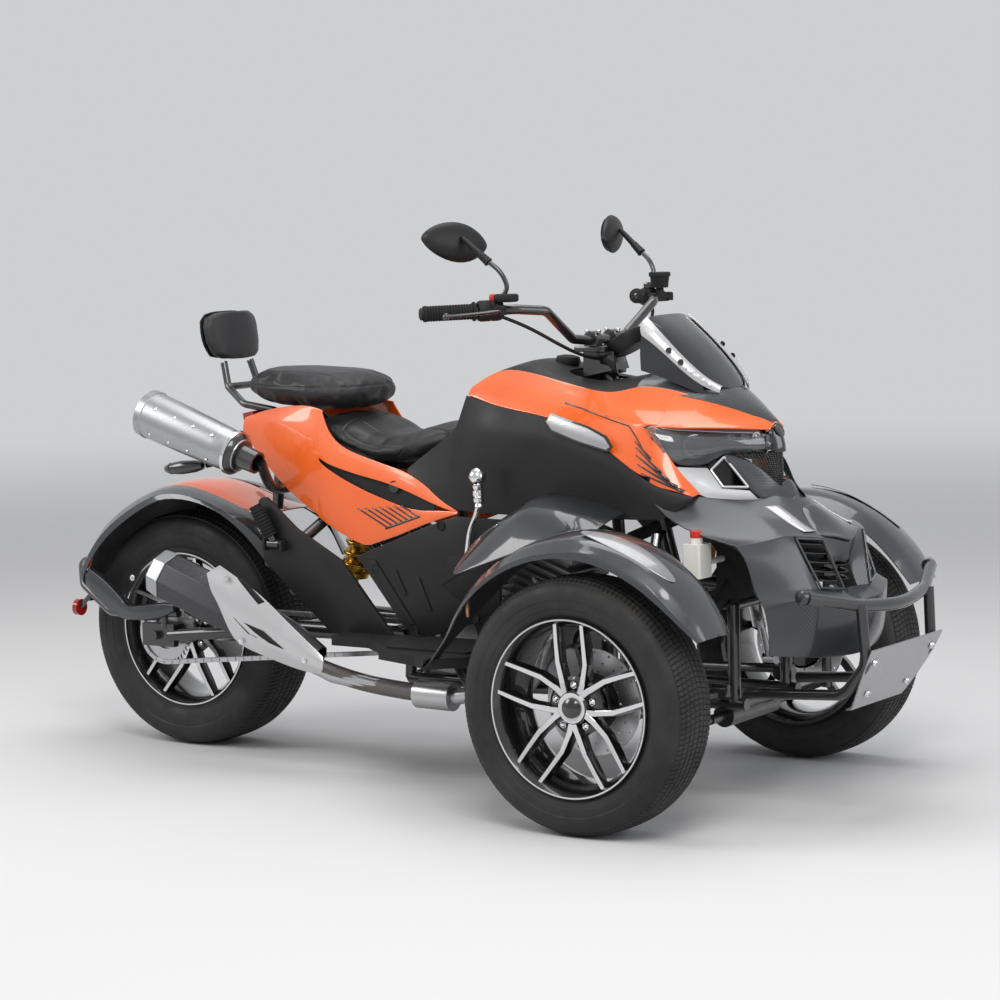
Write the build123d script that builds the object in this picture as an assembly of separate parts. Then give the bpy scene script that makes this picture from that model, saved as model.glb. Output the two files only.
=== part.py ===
from build123d import *
import os
from math import atan2, cos, degrees, pi, radians, sin, sqrt, tan

# Motorized reverse trike: two steered wheels in front, one driven wheel behind.
# Millimetres. X forward, Y to the rider's left, Z up, ground at Z = 0.
# The model is drawn from the ground point under the front axle, then moved forward by
# ORIGIN_SHIFT, which puts the origin under the middle of the whole length.

# ---------------------------------------------------------------- driving dimensions
WHEELBASE = 1450.0
TRACK = 1005.0
FRONT_TYRE_R, FRONT_TYRE_W = 280.0, 154.0
REAR_TYRE_R, REAR_TYRE_W = 295.0, 188.0
RIM_LIP_R = 195.0            # 14 inch rims
ORIGIN_SHIFT = 632.1

FRONT_Y = TRACK / 2
FRONT_Z = FRONT_TYRE_R
REAR_X, REAR_Z = -WHEELBASE, REAR_TYRE_R

KINGPIN_Y = 400.0            # steering axis of each front wheel, upright
STEER_ARM = 115.0            # kingpin to tie rod ball
TIE_ROD_Z = 201.0
COLUMN_RAKE = 24.0           # degrees that the column leans back
COLUMN_FOOT = (-235.0, 0.0, 950.0)

CHAIN_PITCH = 12.7
ROLLER_R = 3.9
REAR_TEETH, DRIVE_TEETH = 36, 16
CHAIN_Y = -150.0
DRIVE_Z = 335.0
RUN_LINKS = 63               # links in each straight run
PANEL_WALL = 5.0
AXLE_R = 12.0                # rear axle
CROSS_X = REAR_X + 440       # swingarm cross tube, which carries the shock's foot
STEM_R = 17.0                # steering stem
RUN_GAP = 0.3                # a turning face and the face it turns in
RIM_SEAT_R = RIM_LIP_R - 11  # tyre bead seat
pieces = {}


def pitch_radius(teeth):
    return CHAIN_PITCH / 2 / sin(pi / teeth)


# The drive sprocket stands where each straight run is a whole number of links.
RUN_DROP = pitch_radius(REAR_TEETH) - pitch_radius(DRIVE_TEETH)
DRIVE_X = REAR_X + sqrt((RUN_LINKS * CHAIN_PITCH) ** 2 - RUN_DROP ** 2 - (DRIVE_Z - REAR_Z) ** 2)
os.makedirs("parts", exist_ok=True)


# ---------------------------------------------------------------- shared construction
def save(name, *shapes):
    """Keep one piece, as its list of solids, until every piece is there to be seated."""
    pieces[name] = [solid for shape in shapes for solid in shape.solids()]


def seat(name, *supports):
    """Cut a piece back to the faces of the pieces that it is fastened to."""
    for support in supports:
        for cutter in pieces[support]:
            box = cutter.bounding_box()
            kept = []
            for solid in pieces[name]:
                near = boxes_meet(solid.bounding_box(), box)
                kept.append(max((solid - cutter).solids(), key=lambda part: part.volume) if near else solid)
            pieces[name] = kept


def boxes_meet(a, b):
    spans = zip(a.min, a.max, b.min, b.max)
    return all(low_a < high_b and low_b < high_a for low_a, high_a, low_b, high_b in spans)


def write_pieces():
    """Write each piece, moved to the origin under the middle of the length."""
    for name, solids in pieces.items():
        body = Compound(solids) if len(solids) > 1 else solids[0]
        export_step(Pos(ORIGIN_SHIFT, 0, 0) * body, f"parts/{name}.step")


def other_side(shape):
    return mirror(shape, about=Plane.XZ)


def polygon(points):
    return make_face(Polyline(*points, close=True))


def side_plate(outline, y_a, y_b):
    """A side-view outline given thickness from y_a to y_b."""
    face = polygon([(x, y_a, z) for x, z in outline])
    return extrude(face, amount=abs(y_b - y_a), dir=(0, 1 if y_b > y_a else -1, 0))


def plan_plate(outline, z_a, z_b):
    """An outline seen from above given thickness from z_a to z_b."""
    return extrude(polygon([(x, y, z_a) for x, y in outline]), amount=z_b - z_a, dir=(0, 0, 1))


def rod(start, end, radius):
    """A round bar between two points."""
    span = Vector(*end) - Vector(*start)
    return extrude(Plane(origin=start, z_dir=span) * Circle(radius), amount=span.length)


def bent_tube(points, radius, bends):
    """A tube along straight runs joined by arcs."""
    path = FilletPolyline(*points, radius=bends)
    first = Vector(*points[1]) - Vector(*points[0])
    return sweep(Plane(origin=points[0], z_dir=first) * Circle(radius), path=path)


def cord_bends(points):
    """The largest arc that each corner of a cord's route has room for."""
    radii = []
    for before, corner, after in zip(points, points[1:], points[2:]):
        come, go = Vector(*corner) - Vector(*before), Vector(*after) - Vector(*corner)
        turn = radians(come.get_angle(go))
        radii.append(0.45 * min(come.length, go.length) / tan(turn / 2))
    print("cord radii", [round(r) for r in radii])
    return radii


def turned(profile, x, y, z):
    """A (distance along the axle, radius) profile turned about a cross-wise axle."""
    face = polygon([(r, 0, a) for a, r in profile])
    return Pos(x, y, z) * Rot(-90, 0, 0) * revolve(face, Axis.Z)


def disc(x, z, y_a, y_b, radius):
    """A round plate across the vehicle."""
    return turned([(y_a, 0), (y_b, 0), (y_b, radius), (y_a, radius)], x, 0, z)


def ruled(sections):
    return loft([polygon(points) for points in sections], ruled=True)


def faceted(rings):
    """A flat-faced solid through rings of points that need not lie in one plane each."""
    faces = []
    for low, high in zip(rings, rings[1:]):
        for i in range(len(low)):
            j = (i + 1) % len(low)
            faces += [polygon((low[i], low[j], high[j])), polygon((low[i], high[j], high[i]))]
    for ring in (rings[0], rings[-1]):
        faces += [polygon((ring[0], ring[i], ring[i + 1])) for i in range(1, len(ring) - 1)]
    return Solid(Shell(faces))


def panel(stations, wall, inward=(1.0, 0.0)):
    """A right-hand panel: outer (half-width, z) points at each x, with a wall inside."""
    dy, dz = inward[0] * wall, inward[1] * wall
    sections = []
    for x, *outer in stations:
        skin = [(x, -half, z) for half, z in outer]
        back = [(x, -half + dy, z - dz) for half, z in reversed(outer)]
        sections.append(skin + back)
    return ruled(sections)


def radial_shell(centre_x, centre_z, stations, wall, side=-1):
    """A fender: at each angle about the axle, (half-width, radius) points with a wall inside."""
    sections = []
    for angle, *outer in stations:
        c, s = cos(radians(angle)), sin(radians(angle))
        ring = outer + [(y, r - wall) for y, r in reversed(outer)]
        sections.append([(centre_x + r * c, side * y, centre_z + r * s) for y, r in ring])
    return ruled(sections)


def block(stations, corner):
    """A soft block: at each x, a section with cut corners from (half-width, low z, high z)."""
    sections = []
    for x, half, low, high in stations:
        c = min(corner, (high - low) * 0.45, half * 0.45)
        right = [(-half + c, low), (-half, low + c), (-half, high - c), (-half + c, high)]
        left = [(-y, z) for y, z in reversed(right)]
        sections.append([(x, y, z) for y, z in right + left])
    return ruled(sections)


# ---------------------------------------------------------------- wheels
def tyre(radius, width, rim_half, x, y, z):
    """A hollow tyre whose beads sit on the rim, inside its lips."""
    half, bead, bead_r = width / 2, rim_half - 15.5, RIM_SEAT_R + RUN_GAP
    outer = [(half * 0.80, radius), (half * 0.97, radius * 0.955), (half, radius * 0.85),
             (half * 0.94, radius * 0.74), (bead, bead_r)]
    inner = [(bead - 9, bead_r), (half * 0.88, radius * 0.82), (half * 0.76, radius * 0.94)]
    half_section = outer + inner
    return turned(half_section + [(-a, r) for a, r in reversed(half_section)], x, y, z)


def rim(half, out, x, y, z, bore=0.0):
    """A cast rim of five double spokes: out is +1 or -1, the side its face looks to."""
    barrel = [(half, RIM_LIP_R), (half, RIM_LIP_R - 9), (half - 14, RIM_SEAT_R - 7),
              (-half + 12, RIM_SEAT_R - 9), (-half, RIM_LIP_R - 10), (-half, RIM_LIP_R),
              (-half + 8, RIM_LIP_R), (-half + 14, RIM_SEAT_R), (half - 14, RIM_SEAT_R),
              (half - 8, RIM_LIP_R)]
    hub = [(-10, bore), (half - 14, bore), (half - 14, 30), (half - 24, 44), (-10, 44)]
    wheel = turned([(a * out, r) for a, r in barrel], x, y, z)
    wheel += turned([(a * out, r) for a, r in hub], x, y, z)
    for number in range(5):
        for lean in (-13, 13):
            angle = 90 + 72 * number + lean
            foot = 90 + 72 * number + lean * 0.75
            spoke = rod_spoke(angle, foot, half, out)
            wheel += Pos(x, y, z) * spoke
    return wheel


def rod_spoke(tip_angle, foot_angle, half, out):
    """One tapered spoke from the hub to the barrel, in the wheel's own plane."""
    foot_r, tip_r = 34.0, RIM_LIP_R - 16
    fa, ta = radians(foot_angle), radians(tip_angle)
    foot = Vector(foot_r * cos(fa), 0, foot_r * sin(fa))
    tip = Vector(tip_r * cos(ta), 0, tip_r * sin(ta))
    along = (tip - foot).normalized()
    across = Vector(-along.Z, 0, along.X)
    sections = []
    for point, width, back, face in ((foot, 11, half - 50, half - 18), (tip, 8, half - 40, half - 12)):
        corners = []
        for side, depth in ((-1, back), (1, back), (1, face), (-1, face)):
            place = point + across * (side * width)
            corners.append((place.X, depth * out, place.Z))
        sections.append(corners)
    return ruled(sections)


def chain_heading():
    """The direction from the rear axle to the drive sprocket, in degrees above X."""
    return degrees(atan2(DRIVE_Z - REAR_Z, DRIVE_X - REAR_X))


def sprocket(teeth, x, z, bore):
    """A chain sprocket whose tooth gaps hold the chain's rollers, one gap square to the run."""
    pitch_r = pitch_radius(teeth)
    gap_r = ROLLER_R + RUN_GAP
    mouth = polygon([(pitch_r, -gap_r), (pitch_r + 5, -gap_r - 2), (pitch_r + 5, gap_r + 2), (pitch_r, gap_r)])
    gap = Pos(pitch_r, 0) * Circle(gap_r) + mouth
    blank = Circle(pitch_r + 4.5) - Circle(bore)
    for number in range(teeth):
        blank -= Rot(0, 0, chain_heading() + 90 + number * 360 / teeth) * gap
    return Pos(x, CHAIN_Y + 3, z) * Rot(90, 0, 0) * extrude(blank, amount=6)


def front_wheel(side, name):
    y = side * FRONT_Y
    half = FRONT_TYRE_W / 2 - 1
    save(f"front_tyre_{name}", tyre(FRONT_TYRE_R, FRONT_TYRE_W, half, 0, y, FRONT_Z))
    cap = [(half - 22, 0), (half - 6, 0), (half - 8, 18), (half - 13, 28), (half - 22, 28)]
    cast = rim(half, side, 0, y, FRONT_Z, AXLE_R + RUN_GAP)
    save(f"front_rim_{name}", cast + turned([(a * side, r) for a, r in cap], 0, y, FRONT_Z))
    rotor = turned([(-36 * side, 44), (-31 * side, 44), (-31 * side, 116), (-36 * side, 116)], 0, y, FRONT_Z)
    bell = turned([(-36 * side, 34), (-10 * side, 34), (-10 * side, 43), (-31 * side, 43),
                   (-31 * side, 60), (-36 * side, 60)], 0, y, FRONT_Z)
    save(f"front_disc_{name}", rotor + bell)


def rear_wheel():
    half = REAR_TYRE_W / 2 - 12
    save("rear_tyre", tyre(REAR_TYRE_R, REAR_TYRE_W, half, REAR_X, 0, REAR_Z))
    save("rear_rim", rim(half, -1, REAR_X, 0, REAR_Z, AXLE_R + RUN_GAP))
    carrier = turned([(-147, 22), (-68, 22), (-68, 34), (-100, 48), (-147, 48)], REAR_X, 0, REAR_Z)
    driven = sprocket(REAR_TEETH, REAR_X, REAR_Z, 40) + carrier
    save("rear_hub", driven, turned([(10, 22), (128, 22), (128, 50), (133, 50), (133, 110), (128, 110),
                              (128, 60), (10, 40)], REAR_X, 0, REAR_Z))


# ---------------------------------------------------------------- front suspension and steering
def knuckle(side, name):
    """Upright with spindle, caliper and steering arm; it turns about the kingpin."""
    y_pin, y_face = side * KINGPIN_Y, side * (FRONT_Y - 39)
    post = rod((0, y_pin, 245), (0, y_pin, 404), 18)
    post += rod((0, y_pin, 239 + RUN_GAP), (0, y_pin, 411 - RUN_GAP), 9)
    spindle = rod((0, y_pin, FRONT_Z + 2), (0, y_face, FRONT_Z), 26)
    axle_pin = rod((0, y_face - 10 * side, FRONT_Z), (0, side * (FRONT_Y - 11), FRONT_Z), 20)
    axle_pin += rod((0, y_face, FRONT_Z), (0, side * (FRONT_Y + FRONT_TYRE_W / 2 - 25), FRONT_Z), AXLE_R)
    arm = rod((0, y_pin, 305), (STEER_ARM, side * (KINGPIN_Y - 15), 305), 12)
    eye = rod((STEER_ARM, side * (KINGPIN_Y - 15), 230), (STEER_ARM, side * (KINGPIN_Y - 15), 317), 12)
    bridge = rod((0, y_pin, 320), (-62, side * (FRONT_Y - 70.5), 365), 13)
    grip = radial_shell(0, FRONT_Z, [(a, (FRONT_Y - 16, 128), (FRONT_Y - 60, 128)) for a in (108, 128, 148)],
                        56, side)
    slot = turned([(-38.5 * side, 60), (-28.5 * side, 60), (-28.5 * side, 121), (-38.5 * side, 121)],
                  0, side * FRONT_Y, FRONT_Z)
    save(f"knuckle_{name}", post + spindle + axle_pin + arm + eye + bridge + (grip - slot))


def suspension():
    """Upper and lower wishbones, from the nose box out to the ball joints."""
    arms = None
    for z_in, z_out, spread, y_in in ((262, 225, 130, 150), (440, 425, 95, 170)):
        for way in (-1, 1):
            leg = rod((way * spread, -y_in, z_in), (0, -KINGPIN_Y, z_out), 11)
            arms = leg if arms is None else arms + leg
        arms += rod((-spread - 22, -y_in, z_in), (-spread + 22, -y_in, z_in), 17)
        arms += rod((spread - 22, -y_in, z_in), (spread + 22, -y_in, z_in), 17)
        arms += rod((0, -KINGPIN_Y, z_out - 14), (0, -KINGPIN_Y, z_out + 14), 19)
    arms += rod((-44, -320, 237), (44, -320, 237), 10)
    save("suspension_arms", arms, other_side(arms))
    low, high = (0, -320, 266), (0, -190, 610)
    damper = rod(low, high, 13)
    direction = (Vector(*high) - Vector(*low)).normalized()
    spring = extrude(Plane(origin=Vector(*low) + direction * 90, z_dir=direction) * Circle(27), amount=190)
    eye = rod((-16, low[1], low[2] - 4), (16, low[1], low[2] - 4), 14)
    shock = damper + spring + eye
    save("front_shocks", shock, other_side(shock))


def steering():
    """Rack with its tie rods, which slides across."""
    y_ball = KINGPIN_Y - 15
    rack = rod((STEER_ARM, -170, TIE_ROD_Z), (STEER_ARM, 170, TIE_ROD_Z), 11)
    for side in (-1, 1):
        rack += rod((STEER_ARM, side * 165, TIE_ROD_Z), (STEER_ARM, side * y_ball, TIE_ROD_Z + 4), 8)
        rack += rod((STEER_ARM, side * y_ball, TIE_ROD_Z - 9), (STEER_ARM, side * y_ball, TIE_ROD_Z + 15), 13)
    save("tie_rods", rack)


def rack_housing():
    housing = rod((STEER_ARM, -110, TIE_ROD_Z), (STEER_ARM, 110, TIE_ROD_Z), 26)
    housing -= rod((STEER_ARM, -130, TIE_ROD_Z), (STEER_ARM, 130, TIE_ROD_Z), 11.4)
    housing += plan_plate([(60, -60), (120, -60), (120, 60), (60, 60)], TIE_ROD_Z + 20, TIE_ROD_Z + 34)
    return housing


def column_point(distance, x_off=0.0, y=0.0):
    """A point at a distance up the raked column, x_off square to it and forward."""
    lean = radians(COLUMN_RAKE)
    x = COLUMN_FOOT[0] - distance * sin(lean) + x_off * cos(lean)
    z = COLUMN_FOOT[2] + distance * cos(lean) + x_off * sin(lean)
    return (x, y, z)


def handlebar():
    right = [(-432, -455, 1108), (-290, -300, 1112), (-252, -235, 1106), (-258, -115, 1036), (-250, -60, 1030)]
    left = [(x, -y, z) for x, y, z in reversed(right)]
    bar = bent_tube(right + left, 11, [60, 32, 32, 24, 24, 32, 32, 60])
    save("handlebar", bar)
    stem = rod(column_point(-100), column_point(62), STEM_R)
    cover = ruled([[(-282, -34, 945), (-200, -34, 962), (-200, 34, 962), (-282, 34, 945)],
                   [(-285, -30, 1012), (-215, -26, 1018), (-215, 26, 1018), (-285, 30, 1012)]])
    clamps = None
    for y in (-42, 42):
        clamp = rod((-250, y - 12, 1030), (-250, y + 12, 1030), 20)
        clamp -= rod((-250, y - 20, 1030), (-250, y + 20, 1030), 11)
        clamps = clamp if clamps is None else clamps + clamp
    yoke = plan_plate([(-282, -56), (-218, -56), (-218, 56), (-282, 56)], 1004, 1016)
    save("steering_cover", stem + cover + clamps + yoke)


def rider_controls():
    """Right-hand grip, switch pod with its lever, mirror and cable; the left side mirrors them."""
    tip = Vector(-432, -455, 1108)
    outward = Vector(-142, -155, -4).normalized()
    front = Vector(-outward.Y, outward.X, 0).normalized()
    inner = tip - outward * 118
    grip = rod(inner, tip + outward * 8, 16) - rod(inner - outward * 10, tip + outward * 0.1, 11)
    pod_a, pod_b = inner - outward * 62, inner - outward * 4
    pod = rod(pod_a, pod_b, 21) - rod(pod_a - outward * 5, pod_b + outward * 5, 11)
    reach = pod_a + front * 48
    lever = rod(pod_a + outward * 10 + front * 15, reach, 7) + rod(reach, (-375, -448, 1100), 6)
    stem_foot = pod_a + outward * 20 + Vector(0, 0, 12)
    stem = bent_tube([stem_foot, (-300, -318, 1178), (-352, -330, 1226), (-402, -330, 1240)], 5, [20, 20])
    head = Pos(-422, -326, 1262) * Rot(0, 0, 18) * Rot(0, 90, 0) * extrude(Ellipse(45, 92), amount=34)
    route = [(-309, -321, 1095), (-290, -296, 1083), (-268, -250, 1060), (-250, -192, 1030), (-240, -132, 1006),
             (-234, -80, 992), (-231, -31, 986)]
    cable = bent_tube(route, 4, cord_bends(route))
    right_hand = {"grips": grip, "controls": pod + lever, "mirrors": stem + head, "cables": cable}
    for name, shape in right_hand.items():
        save(name, shape, other_side(shape))


# ---------------------------------------------------------------- frame, engine and drive
def frame():
    """Welded tube frame with the nose box that carries the wishbones."""
    rails = [((180, 120, 232), (-720, 130, 232)), ((150, 120, 455), (-130, 120, 470)),
             ((-130, 120, 470), (-204, 60, 880)), ((-204, 60, 880), (-720, 90, 690)),
             ((-720, 90, 690), (-1190, 74, 826)), ((-720, 90, 690), (-720, 130, 232)),
             ((-720, 106, 420), (-1120, 80, 800)), ((150, 120, 232), (150, 120, 455)),
             ((-130, 120, 232), (-130, 120, 470)), ((-1120, 80, 800), (-1150, 70, 612)),
             ((-720, 90, 690), (-720, 181, 690)), ((-300, 66, 845), (-300, 211, 800)),
             ((-600, 83, 734), (-600, 174, 728)), ((-560, 128, 232), (-560, 205, 330)),
             ((-420, 125, 232), (-420, 205, 330)),
             ((-940, 92, 629), (-960, 215, 562))]
    tubes = None
    for side in (-1, 1):
        for a, b in rails:
            tube = rod((a[0], a[1] * side, a[2]), (b[0], b[1] * side, b[2]), 14)
            tubes = tube if tubes is None else tubes + tube
    for x, half, z in ((150, 120, 232), (-130, 120, 232), (150, 120, 455), (-130, 120, 470), (-204, 60, 880),
                       (-720, 90, 690), (-720, 130, 232), (-1190, 74, 826), (-880, 84, 736),
                       (-790, 88, 728), (-930, 82, 761)):
        tubes += rod((x, -half, z), (x, half, z), 14)
    for side in (-1, 1):
        for x, y, z in ((130, 150, 262), (-130, 150, 262), (95, 170, 440), (-95, 170, 440)):
            tubes += rod((x, side * 122, z), (x, side * (y - 17), z), 15)
        tubes += rod((0, side * 120, 462), (0, side * 182, 612), 16)
    tubes += rack_housing()
    tubes += rod(column_point(-112), column_point(-22), STEM_R + 9)
    tubes -= rod(column_point(-130), column_point(0), STEM_R + RUN_GAP)
    save("frame", tubes)


def engine():
    """Crankcase with a forward-leaning finned cylinder and round side covers."""
    case = side_plate([(-700, 250), (-560, 210), (-330, 215), (-300, 300), (-380, 400), (-560, 440),
                       (-690, 400)], -110, 110)
    for y_a, y_b, x, z, r in ((-140, -110, -600, 332, 80), (-132, -110, -430, 318, 66),
                              (110, 138, -600, 332, 80), (110, 130, -430, 318, 66)):
        case += disc(x, z, y_a, y_b, r)
    case += sprocket(DRIVE_TEETH, DRIVE_X, DRIVE_Z, 10)
    case += rod((DRIVE_X, CHAIN_Y - 10, DRIVE_Z), (DRIVE_X, -138, DRIVE_Z), 14)
    foot = Vector(-420, 0, 390)
    lean = Plane(origin=foot, z_dir=(0.35, 0, 1))
    barrel = lean * extrude(Rectangle(120, 130), amount=160)
    for level in range(7):
        fin = Plane(origin=foot + lean.z_dir * (18 + 20 * level), z_dir=lean.z_dir)
        barrel += fin * extrude(Rectangle(168, 180), amount=5)
    head = Plane(origin=foot + lean.z_dir * 158, z_dir=lean.z_dir) * extrude(Rectangle(150, 160), amount=70)
    save("engine", case + barrel + head)


def drive():
    """Swingarm, rear shock, chain and drive sprocket."""
    arm = None
    for side in (-1, 1):
        elbow = (CROSS_X - 30, side * 140, 330)
        runs = [rod((-755, side * 118, 330), elbow, 21),
                rod(elbow, (REAR_X + 40, side * 184, REAR_Z), 15),
                side_plate([(REAR_X - 45, REAR_Z - 28), (REAR_X + 55, REAR_Z - 28), (REAR_X + 55, REAR_Z + 28),
                            (REAR_X - 45, REAR_Z + 28)], side * 170, side * 188)]
        for run in runs:
            arm = run if arm is None else arm + run
    arm += rod((-755, -139, 330), (-755, 139, 330), 24)
    arm += rod((CROSS_X, -140, 330), (CROSS_X, 140, 330), 20)
    arm += rod((REAR_X, -202, REAR_Z), (REAR_X, 202, REAR_Z), AXLE_R)
    save("swingarm", arm)
    foot, head = Vector(CROSS_X, 0, 346), Vector(-880, 0, 724)
    axis = (head - foot).normalized()
    shock = rod(tuple(foot), tuple(head), 15) + rod((CROSS_X, -16, 346), (CROSS_X, 16, 346), 26)
    for turn in range(9):
        shock += extrude(Plane(origin=foot + axis * (110 + 24 * turn), z_dir=axis) * Circle(36), amount=11)
    shock += extrude(Plane(origin=foot + axis * 105, z_dir=axis) * Circle(26), amount=215)
    save("rear_shock", shock)
    plates = None
    rear_r, drive_r = pitch_radius(REAR_TEETH), pitch_radius(DRIVE_TEETH)
    for y in (CHAIN_Y - 6.5, CHAIN_Y + 4.5):
        loops = []
        for grow in (5.5, -5.5):
            loops.append(belt_outline(REAR_X, REAR_Z, rear_r + grow, DRIVE_X, DRIVE_Z, drive_r + grow))
        band = extrude(loops[0] - loops[1], amount=2)
        band = Pos(0, y + 2, 0) * Rot(90, 0, 0) * band
        plates = band if plates is None else plates + band
    save("chain", plates.fuse(*chain_links()))


def chain_pins():
    """The pin centres round the loop: rear wrap, lower run, drive wrap and upper run."""
    rear_r, drive_r = pitch_radius(REAR_TEETH), pitch_radius(DRIVE_TEETH)

    def at(x, z, radius, turn):
        angle = radians(chain_heading() + 90 + turn)
        return (x + radius * cos(angle), z + radius * sin(angle))

    def between(start, end):
        steps = [step / RUN_LINKS for step in range(1, RUN_LINKS)]
        return [(start[0] + (end[0] - start[0]) * t, start[1] + (end[1] - start[1]) * t) for t in steps]

    rear = [at(REAR_X, REAR_Z, rear_r, 360 * step / REAR_TEETH) for step in range(REAR_TEETH // 2 + 1)]
    drive = [at(DRIVE_X, DRIVE_Z, drive_r, 180 + 360 * step / DRIVE_TEETH)
             for step in range(DRIVE_TEETH // 2 + 1)]
    return rear + between(rear[-1], drive[0]) + drive + between(drive[-1], rear[0])


def chain_links():
    """Outer link plates and rollers round the loop."""
    pins = chain_pins()
    parts = []
    for number, (x_a, z_a) in enumerate(pins):
        parts.append(rod((x_a, CHAIN_Y - 4.5, z_a), (x_a, CHAIN_Y + 4.5, z_a), ROLLER_R))
        if number % 2:
            continue
        x_b, z_b = pins[number + 1]
        tilt = degrees(atan2(z_b - z_a, x_b - x_a))
        for y in (CHAIN_Y - 7.5, CHAIN_Y + 7.5):
            middle = Pos((x_a + x_b) / 2, y, (z_a + z_b) / 2) * Rot(0, -tilt, 0)
            parts.append(middle * Box(CHAIN_PITCH + 9, 2, 9))
    return parts


def belt_outline(x_a, z_a, r_a, x_b, z_b, r_b):
    """The outline of a belt about two circles, in its own plane."""
    span = sqrt((x_b - x_a) ** 2 + (z_b - z_a) ** 2)
    heading = degrees(atan2(z_b - z_a, x_b - x_a))
    spread = degrees(atan2(sqrt(span ** 2 - (r_a - r_b) ** 2), r_a - r_b))
    def at(x, z, r, angle):
        return (x + r * cos(radians(angle)), z + r * sin(radians(angle)))
    upper, lower = heading + spread, heading - spread
    edges = [Line(at(x_a, z_a, r_a, upper), at(x_b, z_b, r_b, upper)),
             ThreePointArc(at(x_b, z_b, r_b, upper), at(x_b, z_b, r_b, heading), at(x_b, z_b, r_b, lower)),
             Line(at(x_b, z_b, r_b, lower), at(x_a, z_a, r_a, lower)),
             ThreePointArc(at(x_a, z_a, r_a, lower), at(x_a, z_a, r_a, heading + 180),
                           at(x_a, z_a, r_a, upper))]
    return make_face(edges)


def exhaust():
    pipe = bent_tube([(-400, -60, 470), (-330, -120, 420), (-350, -170, 240), (-560, -185, 205),
                      (-700, -185, 207), (-880, -225, 240), (-925, -235, 262)], 19, [40, 60, 60, 120, 25])
    pipe += rod((-560, -185, 205), (-660, -185, 206), 34)
    save("exhaust_pipes", pipe)
    axis_a, axis_b = (-900, -240, 285), (-1372, -262, 468)
    can = tapered([(axis_a, 24), ((-985, -244, 318), 46), ((-1190, -254, 398), 62), (axis_b, 60)], 8)
    can -= blind_bore(axis_a, axis_b, 34, 75)
    save("lower_muffler", can)
    shield = [[(-1215, -318, 486), (-1165, -318, 500), (-880, -288, 258), (-890, -288, 240), (-1112, -318, 308),
               (-1185, -318, 330)],
              [(-1215, -324, 486), (-1165, -324, 500), (-880, -294, 258), (-890, -294, 240), (-1112, -324, 308),
               (-1185, -324, 330)]]
    studs = rod((-1100, -290, 363), (-1100, -320, 363), 8) + rod((-960, -265, 306), (-960, -306, 306), 7)
    save("muffler_shield", faceted(shield) + studs)
    top_a, top_b = (-1100, -272, 760), (-1376, -278, 856)
    upper = tapered([(top_a, 36), ((-1130, -273, 770), 50), ((-1340, -277, 843), 56), (top_b, 54)], 12)
    upper -= blind_bore(top_a, top_b, 40, 120)
    upper += rod((-1105, -272, 762), (-1075, -262, 752), 26) + rod((-1080, -262, 753), (-1050, -215, 690), 22)
    upper += rod((-1050, -215, 690), (-1006, -84, 697), 12)
    save("upper_muffler", upper)


def blind_bore(start, end, radius, depth):
    """The cutter for a round hole of some depth in the end face of a can."""
    along = (Vector(*end) - Vector(*start)).normalized()
    return rod(tuple(Vector(*end) - along * depth), tuple(Vector(*end) + along * 40), radius)


def tapered(rings, sides):
    """A many-sided can through rings of (centre, radius)."""
    start, end = Vector(*rings[0][0]), Vector(*rings[-1][0])
    along = (end - start).normalized()
    faces = [Plane(origin=centre, z_dir=along) * RegularPolygon(radius, sides) for centre, radius in rings]
    return loft(faces, ruled=True)


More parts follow.
